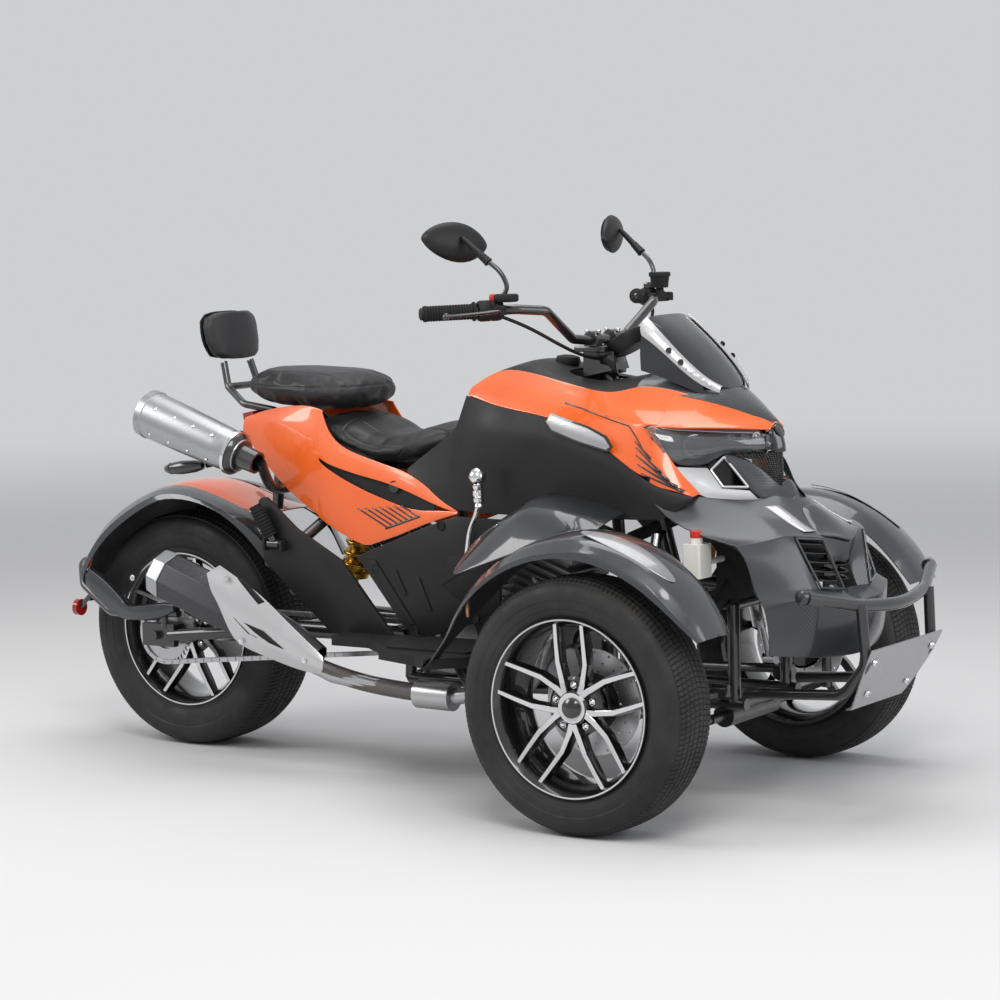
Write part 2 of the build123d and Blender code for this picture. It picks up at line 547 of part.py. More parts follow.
# ---------------------------------------------------------------- bodywork
def upper_body():
    """Orange shoulders and cheeks, satin tank sides, dash, nose and lamps."""
    cheek = panel([(-512, (150, 925), (158, 916), (162, 912), (165, 909)),
                   (-430, (112, 967), (160, 930), (178, 902), (190, 889)),
                   (-285, (130, 941), (165, 915), (187, 893), (206, 872)),
                   (-149, (150, 918), (172, 898), (192, 878), (222, 824)),
                   (-69, (140, 935), (175, 890), (199, 862), (230, 777)),
                   (0, (128, 928), (172, 880), (206, 855), (234, 732)),
                   (60, (110, 912), (150, 875), (196, 853), (228, 716)),
                   (109, (80, 895), (115, 868), (150, 850), (221, 706)),
                   (160, (40, 872), (70, 860), (95, 842), (100, 800)),
                   (205, (6, 850), (20, 845), (30, 835), (32, 820))], PANEL_WALL, (0.7, 0.7))
    lamp_gap = [(-12, 851), (78, 849), (215, 832), (300, 820), (300, 600), (115, 600), (104, 704), (50, 762),
                (37, 790)]
    cheek -= side_plate(lamp_gap, -300, -10)
    save("upper_cowl", cheek, other_side(cheek))
    side = panel([(-687, (160, 732), (162, 730), (162, 728), (160, 726)),
                  (-600, (166, 782), (172, 760), (176, 720), (180, 682)),
                  (-544, (170, 815), (180, 780), (186, 720), (195, 650)),
                  (-515, (165, 904), (188, 830), (194, 740), (200, 640)),
                  (-290, (204, 866), (216, 820), (214, 740), (205, 640)),
                  (-110, (224, 807), (234, 770), (230, 700), (222, 642)),
                  (0, (235, 726), (240, 715), (242, 690), (238, 645)),
                  (50, (228, 712), (240, 705), (244, 680), (243, 650)),
                  (112, (220, 702), (222, 701), (224, 700), (222, 699))], PANEL_WALL)
    save("tank_sides", side, other_side(side))
    dash = panel([(-560, (0, 850), (60, 846), (120, 830)), (-530, (0, 905), (80, 898), (146, 884)),
                  (-500, (0, 950), (80, 942), (153, 922)), (-430, (0, 985), (75, 982), (115, 965)),
                  (-376, (0, 985), (60, 982), (121, 957)), (-285, (0, 968), (70, 962), (133, 939)),
                  (-149, (0, 955), (80, 948), (153, 916)), (-80, (0, 962), (80, 955), (141, 932))],
                 PANEL_WALL, (0.0, 1.0))
    dash = dash + other_side(dash)
    dash -= plan_plate([(-305, -55), (-175, -55), (-175, 55), (-305, 55)], 900, 1000)
    save("dash_panel", dash)
    lamp = ruled([[(-8, -208, 849), (-8, -212, 848), (-8, -212, 846), (-8, -200, 846)],
                  [(37, -200, 850), (37, -214, 820), (37, -214, 795), (37, -170, 800)],
                  [(96, -140, 845), (96, -168, 810), (96, -150, 760), (96, -110, 770)],
                  [(150, -80, 838), (150, -98, 815), (150, -86, 790), (150, -50, 795)],
                  [(192, -20, 828), (192, -26, 812), (192, -22, 790), (192, -12, 795)]])
    save("headlamps", lamp, other_side(lamp))
    levels = [(836, (206, 0), (165, 62), (120, 110), (70, 150)),
              (786, (214, 0), (186, 60), (124, 112), (60, 196)),
              (706, (222, 0), (206, 60), (134, 130), (104, 182)),
              (680, (256, 0), (226, 78), (150, 156), (116, 186))]
    save("nose_panel", plan_shell(levels, 8))


def plan_shell(levels, wall):
    """A nose shell: at each height, (x, half-width) points from the middle out, both sides."""
    sections = []
    for z, *line in levels:
        right = [(x, -y) for x, y in line]
        left = [(x, y) for x, y in reversed(line[1:])]
        outer = left + right
        inner = [(x - wall, y) for x, y in reversed(outer)]
        sections.append([(x, y, z) for x, y in outer + inner])
    return ruled(sections)


def front_cowl():
    levels = [(684, (257, 0), (222, 82), (132, 172), (62, 240)),
              (640, (322, 0), (296, 96), (262, 165), (120, 256)),
              (584, (352, 0), (366, 92), (316, 166), (258, 262)),
              (500, (374, 0), (402, 74), (370, 146), (276, 250)),
              (420, (384, 0), (408, 70), (366, 160), (311, 250)),
              (350, (400, 0), (392, 70), (356, 196), (308, 250))]
    save("front_cowl", plan_shell(levels, 7))
    bow = bent_tube([(427, -300, 506), (478, -160, 475), (507, 0, 462), (478, 160, 475), (427, 300, 506)], 14,
                    [180, 400, 180])
    for side in (-1, 1):
        bow += bent_tube([(486, side * 165, 478), (494, side * 158, 350), (430, side * 140, 275),
                          (178, side * 120, 258)], 12, [30, 60])
    save("bumper", bow)
    plate = ruled([[(506, -168, 374), (511, -168, 371), (511, 168, 371), (506, 168, 374)],
                   [(444, -120, 248), (449, -120, 245), (449, 120, 245), (444, 120, 248)]])
    save("skid_plate", plate)


def windscreen():
    """A bent screen: at each half-width, its (x, z) foot, waist and top, with a wall behind."""
    edge_to_middle = [(112, (32, 976), (20, 988), (8, 999)), (100, (47, 960), (26, 984), (-80, 1081)),
                      (78, (71, 942), (34, 986), (-79, 1085)), (55, (91, 928), (42, 989), (-76, 1088)),
                      (20, (97, 924), (45, 990), (-76, 1088))]
    sections = []
    for side, rows in ((-1, edge_to_middle), (1, edge_to_middle[::-1])):
        for half, *line in rows:
            back = [(x - 4, z - 3) for x, z in reversed(line)]
            sections.append([(x, side * half, z) for x, z in line + back])
    save("windscreen", ruled(sections))
    trim = side_plate([(-83, 1080), (-57, 1070), (30, 1000), (96, 936), (84, 910), (10, 960), (-73, 1002)],
                      -122, -112)
    save("screen_trims", trim, other_side(trim))
    base = ruled([[(-75, -142, 925), (-75, 142, 925), (-75, 118, 990), (-75, -118, 990)],
                  [(60, -116, 890), (60, 116, 890), (60, 96, 952), (60, -96, 952)],
                  [(195, -18, 838), (195, 18, 838), (195, 12, 856), (195, -12, 856)]])
    save("screen_base", base)


def fenders():
    crown = [(31.6, (550, 374), (505, 379), (455, 372)), (42, (572, 345), (480, 368), (400, 352)),
             (58, (578, 334), (455, 366), (375, 350)), (73, (580, 331), (465, 377), (362, 352)),
             (90, (580, 334), (490, 380), (362, 350)), (112, (580, 336), (500, 374), (372, 345)),
             (130, (580, 336), (500, 366), (385, 345)), (145, (572, 342), (500, 362), (410, 350)),
             (158, (545, 366), (492, 376), (440, 368)), (173.5, (505, 430), (480, 437), (450, 430))]
    shell = radial_shell(0, FRONT_Z, crown, 5)
    save("front_fender_right", shell)
    save("front_fender_left", other_side(shell))
    arch = panel([(-398, (216, 652), (300, 646), (360, 600), (440, 520)),
                  (-263, (214, 700), (300, 693), (360, 660), (400, 590)),
                  (-50, (222, 662), (260, 660), (320, 645), (382, 626))], PANEL_WALL, (0.0, 1.0))
    save("fender_arches", arch, other_side(arch))
    hugger = [(160, (70, 338), (0, 343), (-70, 338)), (141, (92, 338), (0, 345), (-92, 338)),
              (118.7, (98, 346), (0, 355), (-98, 346)), (101, (100, 360), (0, 372), (-100, 360)),
              (82.6, (100, 374), (0, 388), (-100, 374)), (62.2, (98, 366), (0, 378), (-98, 366)),
              (46, (92, 420), (0, 432), (-92, 420))]
    save("rear_fender", radial_shell(REAR_X, REAR_Z, hugger, 4))
    lip = [(152, (160, 290), (92, 338)), (123, (162, 296), (96, 344)), (101, (163, 318), (98, 360)),
           (87, (163, 345), (98, 371)), (70, (163, 360), (98, 369)), (55, (163, 372), (98, 378)),
           (40, (163, 378), (96, 424)), (27, (160, 388), (112, 404))]
    side = radial_shell(REAR_X, REAR_Z, lip, 5)
    save("rear_fender_lip", side, other_side(side))


def seats():
    save("rider_seat", block([(-610, 60, 790, 850), (-700, 150, 735, 808), (-790, 162, 742, 788),
                              (-870, 162, 760, 822), (-930, 156, 775, 846), (-985, 136, 800, 858)], 22))
    save("pillion_seat", block([(-852, 104, 862, 922), (-905, 148, 862, 938), (-1010, 158, 862, 946),
                                (-1130, 132, 876, 948), (-1222, 92, 892, 944)], 20))
    pad = Box(56, 224, 128)
    save("backrest_pad", Pos(-1330, 0, 1030) * Rot(0, 10, 0) * fillet(pad.edges().filter_by(Axis.X), 40))
    bracket = None
    for side in (-1, 1):
        arm = bent_tube([(-1318, side * 52, 966), (-1300, side * 60, 905), (-1230, side * 88, 866),
                         (-1140, side * 80, 852), (-1090, side * 78, 806)], 9, [30, 30, 25])
        bracket = arm if bracket is None else bracket + arm
    bracket += rod((-1300, -62, 905), (-1300, 62, 905), 9)
    save("backrest_bracket", bracket)


def rear_body():
    tail = panel([(-1225, (96, 833), (104, 818), (104, 800)), (-1108, (120, 856), (142, 790), (146, 713)),
                  (-1004, (132, 866), (160, 760), (166, 646)), (-984, (140, 850), (166, 750), (168, 634)),
                  (-942, (166, 776), (172, 700), (172, 608)), (-843, (170, 756), (178, 660), (180, 556)),
                  (-808, (170, 750), (180, 650), (182, 546)), (-701, (172, 731), (184, 660), (188, 582)),
                  (-600, (186, 676), (192, 648), (194, 615)), (-529, (198, 639), (199, 638), (200, 636))],
                 PANEL_WALL)
    save("tail_panels", tail, other_side(tail))
    middle = side_plate([(-803, 527), (-670, 364), (-632, 348), (-590, 348), (-487, 383), (-400, 420),
                         (-398, 632), (-521, 632), (-600, 606)], -222, -212)
    save("mid_side_panels", middle, other_side(middle))
    rear = side_plate([(-1080, 649), (-1056, 657), (-969, 586), (-839, 516), (-686, 335), (-874, 342),
                       (-1068, 504)], -224, -212)
    for x in (-1056, -1005.5):
        rear += side_plate([(x, 532), (x + 7.5, 532), (x + 7.5, 558), (x, 558)], -257, -223)
    save("rear_side_panels", rear, other_side(rear))
    board = plan_plate([(-350, -205), (-350, -440), (-420, -505), (-470, -470), (-600, -425), (-640, -360),
                        (-720, -300), (-825, -300), (-825, -218), (-640, -218), (-640, -205)], 325, 348)
    board += plan_plate([(-372, -236), (-372, -408), (-590, -408), (-590, -236)], 348, 353)
    for rib in range(9):
        x = -384 - 24 * rib
        board += rod((x, -250, 325), (x, -400, 325), 5)
    save("footboards", board, other_side(board))
    tail_lamp = ruled([[(-1200, -90, 800), (-1200, 90, 800), (-1200, 92, 850), (-1200, -92, 850)],
                  [(-1245, -70, 812), (-1245, 70, 812), (-1245, 76, 842), (-1245, -76, 842)]])
    bow_x, plate_x, hole_z = REAR_X - 318, REAR_X - 328, 372
    arm = bent_tube([(REAR_X + 70, -184, 352), (REAR_X - 50, -186, 348), (REAR_X - 164, -164, 338),
                     (REAR_X - 278, -136, 400), (bow_x + 2, -96, 452), (bow_x, 0, 456)],
                    10, [60, 60, 40, 40])
    arm += rod((REAR_X + 25, -184, 312), (REAR_X + 25, -185, 350), 9)
    arm += rod((REAR_X - 240, -146, 384), (REAR_X - 290, -134, 344), 6)
    plate = side_plate([(plate_x, 458), (plate_x + 4, 458), (plate_x + 4, 345), (plate_x, 345)], -62, 62)
    for y in (-50, 50):
        plate -= rod((plate_x - 20, y, hole_z), (plate_x + 20, y, hole_z), 3.2)
    save("plate_bracket", arm + other_side(arm) + plate)
    reflector = Pos(REAR_X - 298, -132, 340) * Rot(0, 90, 0) * Cylinder(21, 14)
    save("red_lenses", tail_lamp, reflector, other_side(reflector))


def small_parts():
    stem = bent_tube([(-492, -226, 512), (-470, -238, 600), (-432, -252, 680), (-430, -258, 712)], 6, [60, 40])
    save("shift_lever", stem + Pos(-430, -259, 730) * Sphere(20))
    for side, name in ((-1, "right"), (1, "left")):
        barrel = rod((-1048, side * 244, 548), (-1006, side * 244, 548), 13)
        peg = barrel + rod((-1027, side * 244, 548), (-1070, side * 262, 640), 12)
        save(f"passenger_peg_{name}", peg)
    save("radiator", Pos(150, 0, 554) * Box(50, 300, 170))
    bottle = Pos(132, -246, 566) * Box(44, 56, 74)
    bottle += Pos(132, -246, 610) * Cylinder(13, 16) + rod((140, -150, 560), (140, -222, 560), 7)
    save("coolant_bottle", fillet(bottle.edges().filter_by(Axis.Z), 6))


for side, name in ((-1, "right"), (1, "left")):
    front_wheel(side, name)
    knuckle(side, name)
rear_wheel()
suspension()
steering()
handlebar()
rider_controls()
frame()
engine()
drive()
exhaust()
upper_body()
front_cowl()
windscreen()
fenders()
seats()
rear_body()
small_parts()

SEATS = (
    ("swingarm", "frame"), ("engine", "frame", "swingarm"), ("suspension_arms", "frame"),
    ("front_shocks", "frame", "suspension_arms"), ("rear_shock", "swingarm", "frame"),
    ("exhaust_pipes", "engine"), ("lower_muffler", "exhaust_pipes"), ("muffler_shield", "lower_muffler"),
    ("upper_muffler", "frame"), ("bumper", "frame"), ("skid_plate", "bumper"),
    ("upper_cowl", "frame"), ("tank_sides", "upper_cowl", "frame"), ("dash_panel", "upper_cowl", "frame"),
    ("headlamps", "upper_cowl"), ("front_cowl", "tank_sides", "bumper"),
    ("nose_panel", "headlamps", "upper_cowl", "front_cowl"), ("screen_base", "upper_cowl", "dash_panel"),
    ("windscreen", "screen_base"),
    ("screen_trims", "windscreen"), ("fender_arches", "front_fender_right", "front_fender_left", "tank_sides"),
    ("tail_panels", "frame", "upper_muffler", "tank_sides"),
    ("rider_seat", "frame", "tail_panels", "dash_panel"), ("pillion_seat", "tail_panels", "rider_seat"),
    ("backrest_bracket", "frame", "backrest_pad", "pillion_seat"),
    ("rear_fender", "frame"), ("rear_fender_lip", "rear_fender"), ("plate_bracket", "swingarm", "rear_fender"),
    ("red_lenses", "frame", "plate_bracket"), ("rear_side_panels", "frame"),
    ("footboards", "frame", "front_fender_right", "front_fender_left", "rear_side_panels"),
    ("mid_side_panels", "footboards", "tail_panels", "rear_side_panels"), ("shift_lever", "mid_side_panels"),
    ("mirrors", "controls", "handlebar"), ("cables", "controls", "steering_cover"),
    ("radiator", "frame"), ("coolant_bottle", "radiator"),
)
for name, *supports in SEATS:
    seat(name, *supports)
write_pieces()
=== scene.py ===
from math import cos, pi, radians, sin, sqrt
import bmesh
import bpy
from mathutils import Matrix, Vector
from mathutils.bvhtree import BVHTree


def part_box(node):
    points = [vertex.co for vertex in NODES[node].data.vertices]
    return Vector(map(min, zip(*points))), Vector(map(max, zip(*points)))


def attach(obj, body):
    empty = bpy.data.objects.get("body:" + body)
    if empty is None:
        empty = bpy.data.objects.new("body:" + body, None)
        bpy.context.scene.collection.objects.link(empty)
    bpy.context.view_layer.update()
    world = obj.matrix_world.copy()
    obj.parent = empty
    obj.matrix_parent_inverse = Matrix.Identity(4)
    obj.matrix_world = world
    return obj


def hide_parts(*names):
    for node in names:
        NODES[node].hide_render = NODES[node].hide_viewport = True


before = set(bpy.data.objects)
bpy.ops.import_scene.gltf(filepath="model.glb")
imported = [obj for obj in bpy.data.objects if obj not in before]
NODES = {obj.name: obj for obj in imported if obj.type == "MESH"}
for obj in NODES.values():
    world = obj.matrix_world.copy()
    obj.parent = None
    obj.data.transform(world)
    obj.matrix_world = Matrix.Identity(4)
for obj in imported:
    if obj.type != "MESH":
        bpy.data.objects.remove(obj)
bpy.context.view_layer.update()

# ---------------------------------------------------------------- places, from the frame
# Shapes are drawn in millimetres from the ground point under the front axle, as the parts are.
TYRE_LOW, TYRE_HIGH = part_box("front_tyre_right")
AXLE_X = (TYRE_LOW[0] + TYRE_HIGH[0]) / 2
FRONT_R = (TYRE_HIGH[2] - TYRE_LOW[2]) / 2 * 1000
FRONT_W = (TYRE_HIGH[1] - TYRE_LOW[1]) * 1000
FRONT_Y = -(TYRE_LOW[1] + TYRE_HIGH[1]) / 2 * 1000
REAR_LOW, REAR_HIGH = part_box("rear_tyre")
REAR_X = ((REAR_LOW[0] + REAR_HIGH[0]) / 2 - AXLE_X) * 1000
REAR_R = (REAR_HIGH[2] - REAR_LOW[2]) / 2 * 1000
REAR_W = (REAR_HIGH[1] - REAR_LOW[1]) * 1000
LIP_R = 195.0                # rim lip radius
AXIS = 0.01                  # radius of the points that close a turned profile on its axis
SIDES = ((-1, "right"), (1, "left"))


def at(x, y, z):
    """A point in millimetres from under the front axle, in the frame's metres."""
    return Vector((x / 1000 + AXLE_X, y / 1000, z / 1000))


def in_scene(name, data):
    """A new object of that data, linked to the scene."""
    made = bpy.data.objects.new(name, data)
    bpy.context.scene.collection.objects.link(made)
    return made


# ---------------------------------------------------------------- camera
EYE = (3456.2, -6006.3, 1403.0)
LENS = 110.83                # mm, on a sensor 36 mm wide
YAW, PITCH, ROLL = radians(123.655), radians(-5.978), radians(-1.3228)


def camera():
    """A long lens to the right and in front, with a slight roll."""
    forward = Vector((cos(PITCH) * cos(YAW), cos(PITCH) * sin(YAW), sin(PITCH)))
    right = forward.cross(Vector((0, 0, 1))).normalized()
    up = right.cross(forward)
    across = right * cos(ROLL) + up * sin(ROLL)
    over = up * cos(ROLL) - right * sin(ROLL)
    data = bpy.data.cameras.new("camera")
    data.lens, data.sensor_width, data.clip_end = LENS, 36.0, 60.0
    eye = in_scene("camera", data)
    eye.matrix_world = Matrix.Translation(at(*EYE)) @ Matrix((across, over, -forward)).transposed().to_4x4()
    bpy.context.scene.camera = eye


# ---------------------------------------------------------------- node trees
def new_finish(name, base, roughness, metallic=0.0, **sockets):
    """A material with a Principled shader whose plain values sit on its own sockets."""
    finish = bpy.data.materials.new(name)
    finish.use_nodes = True
    shader = finish.node_tree.nodes["Principled BSDF"]
    shader.inputs["Base Color"].default_value = (*base, 1.0)
    shader.inputs["Roughness"].default_value = roughness
    shader.inputs["Metallic"].default_value = metallic
    for socket, value in sockets.items():
        shader.inputs[socket.replace("_", " ")].default_value = value
    finish.diffuse_color = (*base, 1.0)
    return finish


def add(finish, kind, **values):
    """A node with its sockets set by name: a value, or another node's output to link."""
    tree = finish.node_tree
    node = tree.nodes.new(kind)
    for name, value in values.items():
        if hasattr(node, name):
            setattr(node, name, value)
            continue
        socket = node.inputs[int(name[1:]) if name[1:].isdigit() else name.replace("_", " ")]
        if isinstance(value, bpy.types.NodeSocket):
            tree.links.new(value, socket)
        else:
            socket.default_value = value
    return node


def place_of(finish):
    """Object coordinates."""
    return add(finish, "ShaderNodeTexCoord").outputs["Object"]


def noise(finish, scale, detail=3.0, where=None):
    """A noise value from 0 to 1."""
    vector = place_of(finish) if where is None else where
    return add(finish, "ShaderNodeTexNoise", Vector=vector, Scale=scale, Detail=detail).outputs["Fac"]


def spread(finish, value, low=0.0, high=1.0, from_low=0.3, from_high=0.7):
    """The middle of a value's range stretched to run from low to high."""
    return add(finish, "ShaderNodeMapRange", Value=value, From_Min=from_low, From_Max=from_high,
               To_Min=low, To_Max=high).outputs["Result"]


def wire(finish, output, socket):
    """Links an output to a socket of the shader."""
    finish.node_tree.links.new(output, finish.node_tree.nodes["Principled BSDF"].inputs[socket])


def tint(finish, factor, first, second):
    """Base colour mixed from two shades by a factor."""
    mix = add(finish, "ShaderNodeMix", data_type="RGBA", _6=(*first, 1.0), _7=(*second, 1.0))
    finish.node_tree.links.new(factor, mix.inputs["Factor"])
    wire(finish, mix.outputs[2], "Base Color")


def rough(finish, value, low, high):
    """Roughness that follows a value between two limits."""
    wire(finish, spread(finish, value, low, high), "Roughness")


def emboss(finish, height, strength, distance):
    """A bump on the surface."""
    wire(finish, add(finish, "ShaderNodeBump", Height=height, Strength=strength, Distance=distance).outputs["Normal"],
         "Normal")


# ---------------------------------------------------------------- finishes
def gloss_paint(name, base, deep, roughness=0.32):
    """Clear-coated paint with a faint drift of shade and dust-fine texture."""
    finish = new_finish(name, base, roughness, Coat_Weight=1.0, Coat_Roughness=0.04, Coat_IOR=1.5)
    tint(finish, spread(finish, noise(finish, 9.0)), base, deep)
    rough(finish, noise(finish, 60.0), roughness - 0.05, roughness + 0.06)
    emboss(finish, noise(finish, 900.0), 0.03, 0.0004)
    return finish


def flake_paint(name, base, bright):
    """Metallic paint: fine bright flakes under a clear coat."""
    finish = new_finish(name, base, 0.36, 0.55, Coat_Weight=1.0, Coat_Roughness=0.06)
    flakes = add(finish, "ShaderNodeTexVoronoi", Vector=place_of(finish), Scale=1400.0).outputs["Distance"]
    tint(finish, spread(finish, flakes, 1.0, 0.0, 0.05, 0.45), base, bright)
    rough(finish, noise(finish, 30.0), 0.3, 0.42)
    return finish


def moulded(name, base, roughness=0.55, grain=1600.0, depth=0.12):
    """Moulded plastic with a fine leathery grain and rubbed patches."""
    finish = new_finish(name, base, roughness, Specular_IOR_Level=0.28)
    rough(finish, noise(finish, 14.0), roughness - 0.08, roughness + 0.1)
    tint(finish, spread(finish, noise(finish, 5.0)), base, tuple(value * 1.3 + 0.001 for value in base))
    emboss(finish, noise(finish, grain, 4.0), depth, 0.0006)
    return finish


def metal(name, base, roughness, grain, streak=0.0):
    """Bare metal: cloudy roughness, and lines drawn along X where it is brushed."""
    finish = new_finish(name, base, roughness, 1.0)
    where = place_of(finish)
    if streak:
        where = add(finish, "ShaderNodeMapping", Vector=where, Scale=(streak, 1.0, 1.0)).outputs["Vector"]
    marks = noise(finish, grain, 4.0, where)
    rough(finish, marks, roughness - 0.08, roughness + 0.12)
    tint(finish, spread(finish, marks), base, tuple(value * 0.78 for value in base))
    emboss(finish, marks, 0.06, 0.0003)
    return finish


WEAVE_PITCH = 0.0023         # metres, one tow of the cloth


def twill(name, base, bright):
    """Woven twill under a clear coat: diagonal steps of light and dark tows on the weave map."""
    finish = new_finish(name, base, 0.3, 0.15, Coat_Weight=0.45, Coat_Roughness=0.14)

    def sum_of(operation, first, second):
        return add(finish, "ShaderNodeMath", operation=operation, _0=first, _1=second).outputs[0]

    weave = add(finish, "ShaderNodeUVMap", uv_map="weave").outputs["UV"]
    split = add(finish, "ShaderNodeSeparateXYZ", Vector=weave)
    across, down = (sum_of("FLOOR", sum_of("DIVIDE", split.outputs[axis], WEAVE_PITCH), 0.0) for axis in ("X", "Y"))
    part = sum_of("FRACT", sum_of("DIVIDE", sum_of("ADD", across, down), 4.0), 0.0)
    over = sum_of("LESS_THAN", part, 0.4)
    tint(finish, over, base, bright)
    wire(finish, spread(finish, over, 0.42, 0.26, 0.0, 1.0), "Roughness")
    emboss(finish, over, 0.15, 0.0004)
    return finish


def tyre_rubber():
    """Dark rubber with a fine grain and a dusty bloom."""
    finish = new_finish("tyre_rubber", (0.012, 0.012, 0.0125), 0.62, Specular_IOR_Level=0.28)
    tint(finish, spread(finish, noise(finish, 11.0, 5.0)), (0.015, 0.015, 0.0155), (0.034, 0.033, 0.032))
    rough(finish, noise(finish, 40.0), 0.5, 0.72)
    emboss(finish, noise(finish, 700.0, 5.0), 0.18, 0.0005)
    return finish


def leather():
    """Black vinyl leather: pebbled cells and a satin sheen."""
    finish = new_finish("seat_leather", (0.01, 0.01, 0.011), 0.42, Sheen_Weight=0.03, Specular_IOR_Level=0.42)
    cells = add(finish, "ShaderNodeTexVoronoi", Vector=place_of(finish), Scale=620.0,
                feature="SMOOTH_F1").outputs["Distance"]
    rough(finish, noise(finish, 12.0), 0.38, 0.54)
    tint(finish, spread(finish, noise(finish, 6.0)), (0.008, 0.008, 0.009), (0.016, 0.016, 0.018))
    emboss(finish, cells, 0.25, 0.0006)
    return finish


def lens(name, base, clearness, roughness=0.04):
    """Clear or tinted plastic lens."""
    finish = new_finish(name, base, roughness, Transmission_Weight=clearness, IOR=1.45, Coat_Weight=0.6)
    rough(finish, noise(finish, 25.0), roughness, roughness + 0.05)
    return finish


FINISH = {
    "orange": gloss_paint("orange_gloss", (0.85, 0.135, 0.012), (0.8, 0.112, 0.009)),
    "grey": flake_paint("charcoal_metallic", (0.032, 0.035, 0.039), (0.14, 0.146, 0.156)),
    "lip": flake_paint("slate_metallic", (0.022, 0.0245, 0.028), (0.075, 0.08, 0.088)),
    "satin": moulded("satin_black", (0.0105, 0.0105, 0.011), 0.44),
    "matte": moulded("matte_black", (0.007, 0.007, 0.0075), 0.58),
    "piano": gloss_paint("gloss_black", (0.003, 0.003, 0.0035), (0.005, 0.005, 0.0055), 0.2),
    "twill": twill("grey_twill", (0.014, 0.0155, 0.0175), (0.058, 0.062, 0.068)),
    "frame": gloss_paint("black_powder", (0.005, 0.005, 0.0055), (0.009, 0.009, 0.01), 0.4),
    "rubber": tyre_rubber(),
    "grip": moulded("grip_rubber", (0.009, 0.009, 0.0095), 0.7, 900.0, 0.3),
    "alloy": gloss_paint("black_alloy", (0.004, 0.004, 0.0045), (0.007, 0.007, 0.0075), 0.22),
    "cut": metal("machined_face", (0.78, 0.78, 0.79), 0.24, 900.0),
    "steel": metal("ground_steel", (0.56, 0.56, 0.57), 0.32, 700.0),
    "chrome": metal("chrome", (0.82, 0.82, 0.83), 0.1, 300.0),
    "brushed": metal("brushed_aluminium", (0.46, 0.47, 0.48), 0.34, 900.0, 0.04),
    "plate": metal("satin_aluminium", (0.5, 0.5, 0.51), 0.42, 600.0, 0.05),
    "strip": flake_paint("marker_lamp", (0.2, 0.205, 0.21), (0.62, 0.63, 0.64)),
    "silver": flake_paint("silver_paint", (0.5, 0.5, 0.51), (0.72, 0.72, 0.73)),
    "cast": metal("cast_aluminium", (0.32, 0.32, 0.33), 0.5, 350.0),
    "dark_steel": metal("dark_steel", (0.09, 0.09, 0.095), 0.35, 500.0, 0.05),
    "braid": metal("braided_steel", (0.2, 0.19, 0.18), 0.55, 420.0),
    "gold": metal("gold_anodised", (0.62, 0.36, 0.06), 0.26, 500.0),
    "leather": leather(),
    "screen": lens("smoked_screen", (0.03, 0.032, 0.035), 0.55),
    "lens": lens("smoked_lens", (0.42, 0.44, 0.46), 0.88),
    "clear": lens("clear_lens", (0.86, 0.88, 0.9), 0.8),
    "red": lens("red_lens", (0.42, 0.012, 0.01), 0.35, 0.12),
    "smoke": lens("smoked_indicator", (0.05, 0.045, 0.04), 0.3, 0.08),
    "milk": moulded("milky_plastic", (0.62, 0.62, 0.58), 0.4, 700.0, 0.05),
    "red_cap": moulded("red_plastic", (0.5, 0.03, 0.02), 0.4),
    "peach": lens("peach_reflector", (0.55, 0.24, 0.1), 0.1, 0.25),
    "led": new_finish("white_led", (0.8, 0.82, 0.85), 0.3),
}


# ---------------------------------------------------------------- building pieces
def piece(name, form, body, slot, *finishes, replaces=(), smooth=32.0):
    """A bmesh made a piece that rides on a body and takes the finishes it is given; its slot is not used."""
    data = bpy.data.meshes.new(name)
    form.to_mesh(data)
    form.free()
    for finish in finishes:
        data.materials.append(FINISH[finish])
    data.shade_smooth()
    if smooth < 180:
        data.set_sharp_from_angle(angle=radians(smooth))
    made = in_scene(name, data)
    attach(made, body)
    if replaces:
        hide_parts(*replaces)
    return made


SHARP = radians(35)          # edges sharper than this are bevelled


def soften(made, wall=0.0, bevel=0.0, levels=0, segments=2, inside=0):
    """Wall, edge bevel and subdivision as live modifiers, in that order."""
    if wall:
        thick = made.modifiers.new("wall", "SOLIDIFY")
        thick.thickness, thick.offset, thick.use_even_offset = wall / 1000, -1.0, True
        thick.material_offset = inside
    if bevel:
        edge = made.modifiers.new("edge", "BEVEL")
        edge.width, edge.segments, edge.limit_method = bevel / 1000, segments, "ANGLE"
        edge.angle_limit, edge.harden_normals = SHARP, False
    if levels:
        round_off = made.modifiers.new("round", "SUBSURF")
        round_off.levels = round_off.render_levels = levels
    return made


def skin(rows, closed=False, caps=False):
    """A sheet drawn out row by row from points in millimetres, with a weave map of lengths."""
    form = bmesh.new()

    def pairs_of(line):
        return list(zip(line, line[1:])) + ([(line[-1], line[0])] if closed else [])

    line = [form.verts.new(at(*point)) for point in rows[0]]
    edges = [form.edges.new(pair) for pair in pairs_of(line)]
    lines = [line]
    for row in rows[1:]:
        made = bmesh.ops.extrude_edge_only(form, edges=edges)["geom"]
        fresh = {item for item in made if isinstance(item, bmesh.types.BMVert)}
        line = [next(e.other_vert(v) for e in v.link_edges if e.other_vert(v) in fresh) for v in line]
        for vertex, point in zip(line, row):
            vertex.co = at(*point)
        edges = [form.edges.get(pair) for pair in pairs_of(line)]
        lines.append(line)
    if caps:
        for end in (lines[0], lines[-1]):
            bmesh.ops.contextual_create(form, geom=end)
    bmesh.ops.recalc_face_normals(form, faces=form.faces)
    lay_weave(form, lines)
    return form


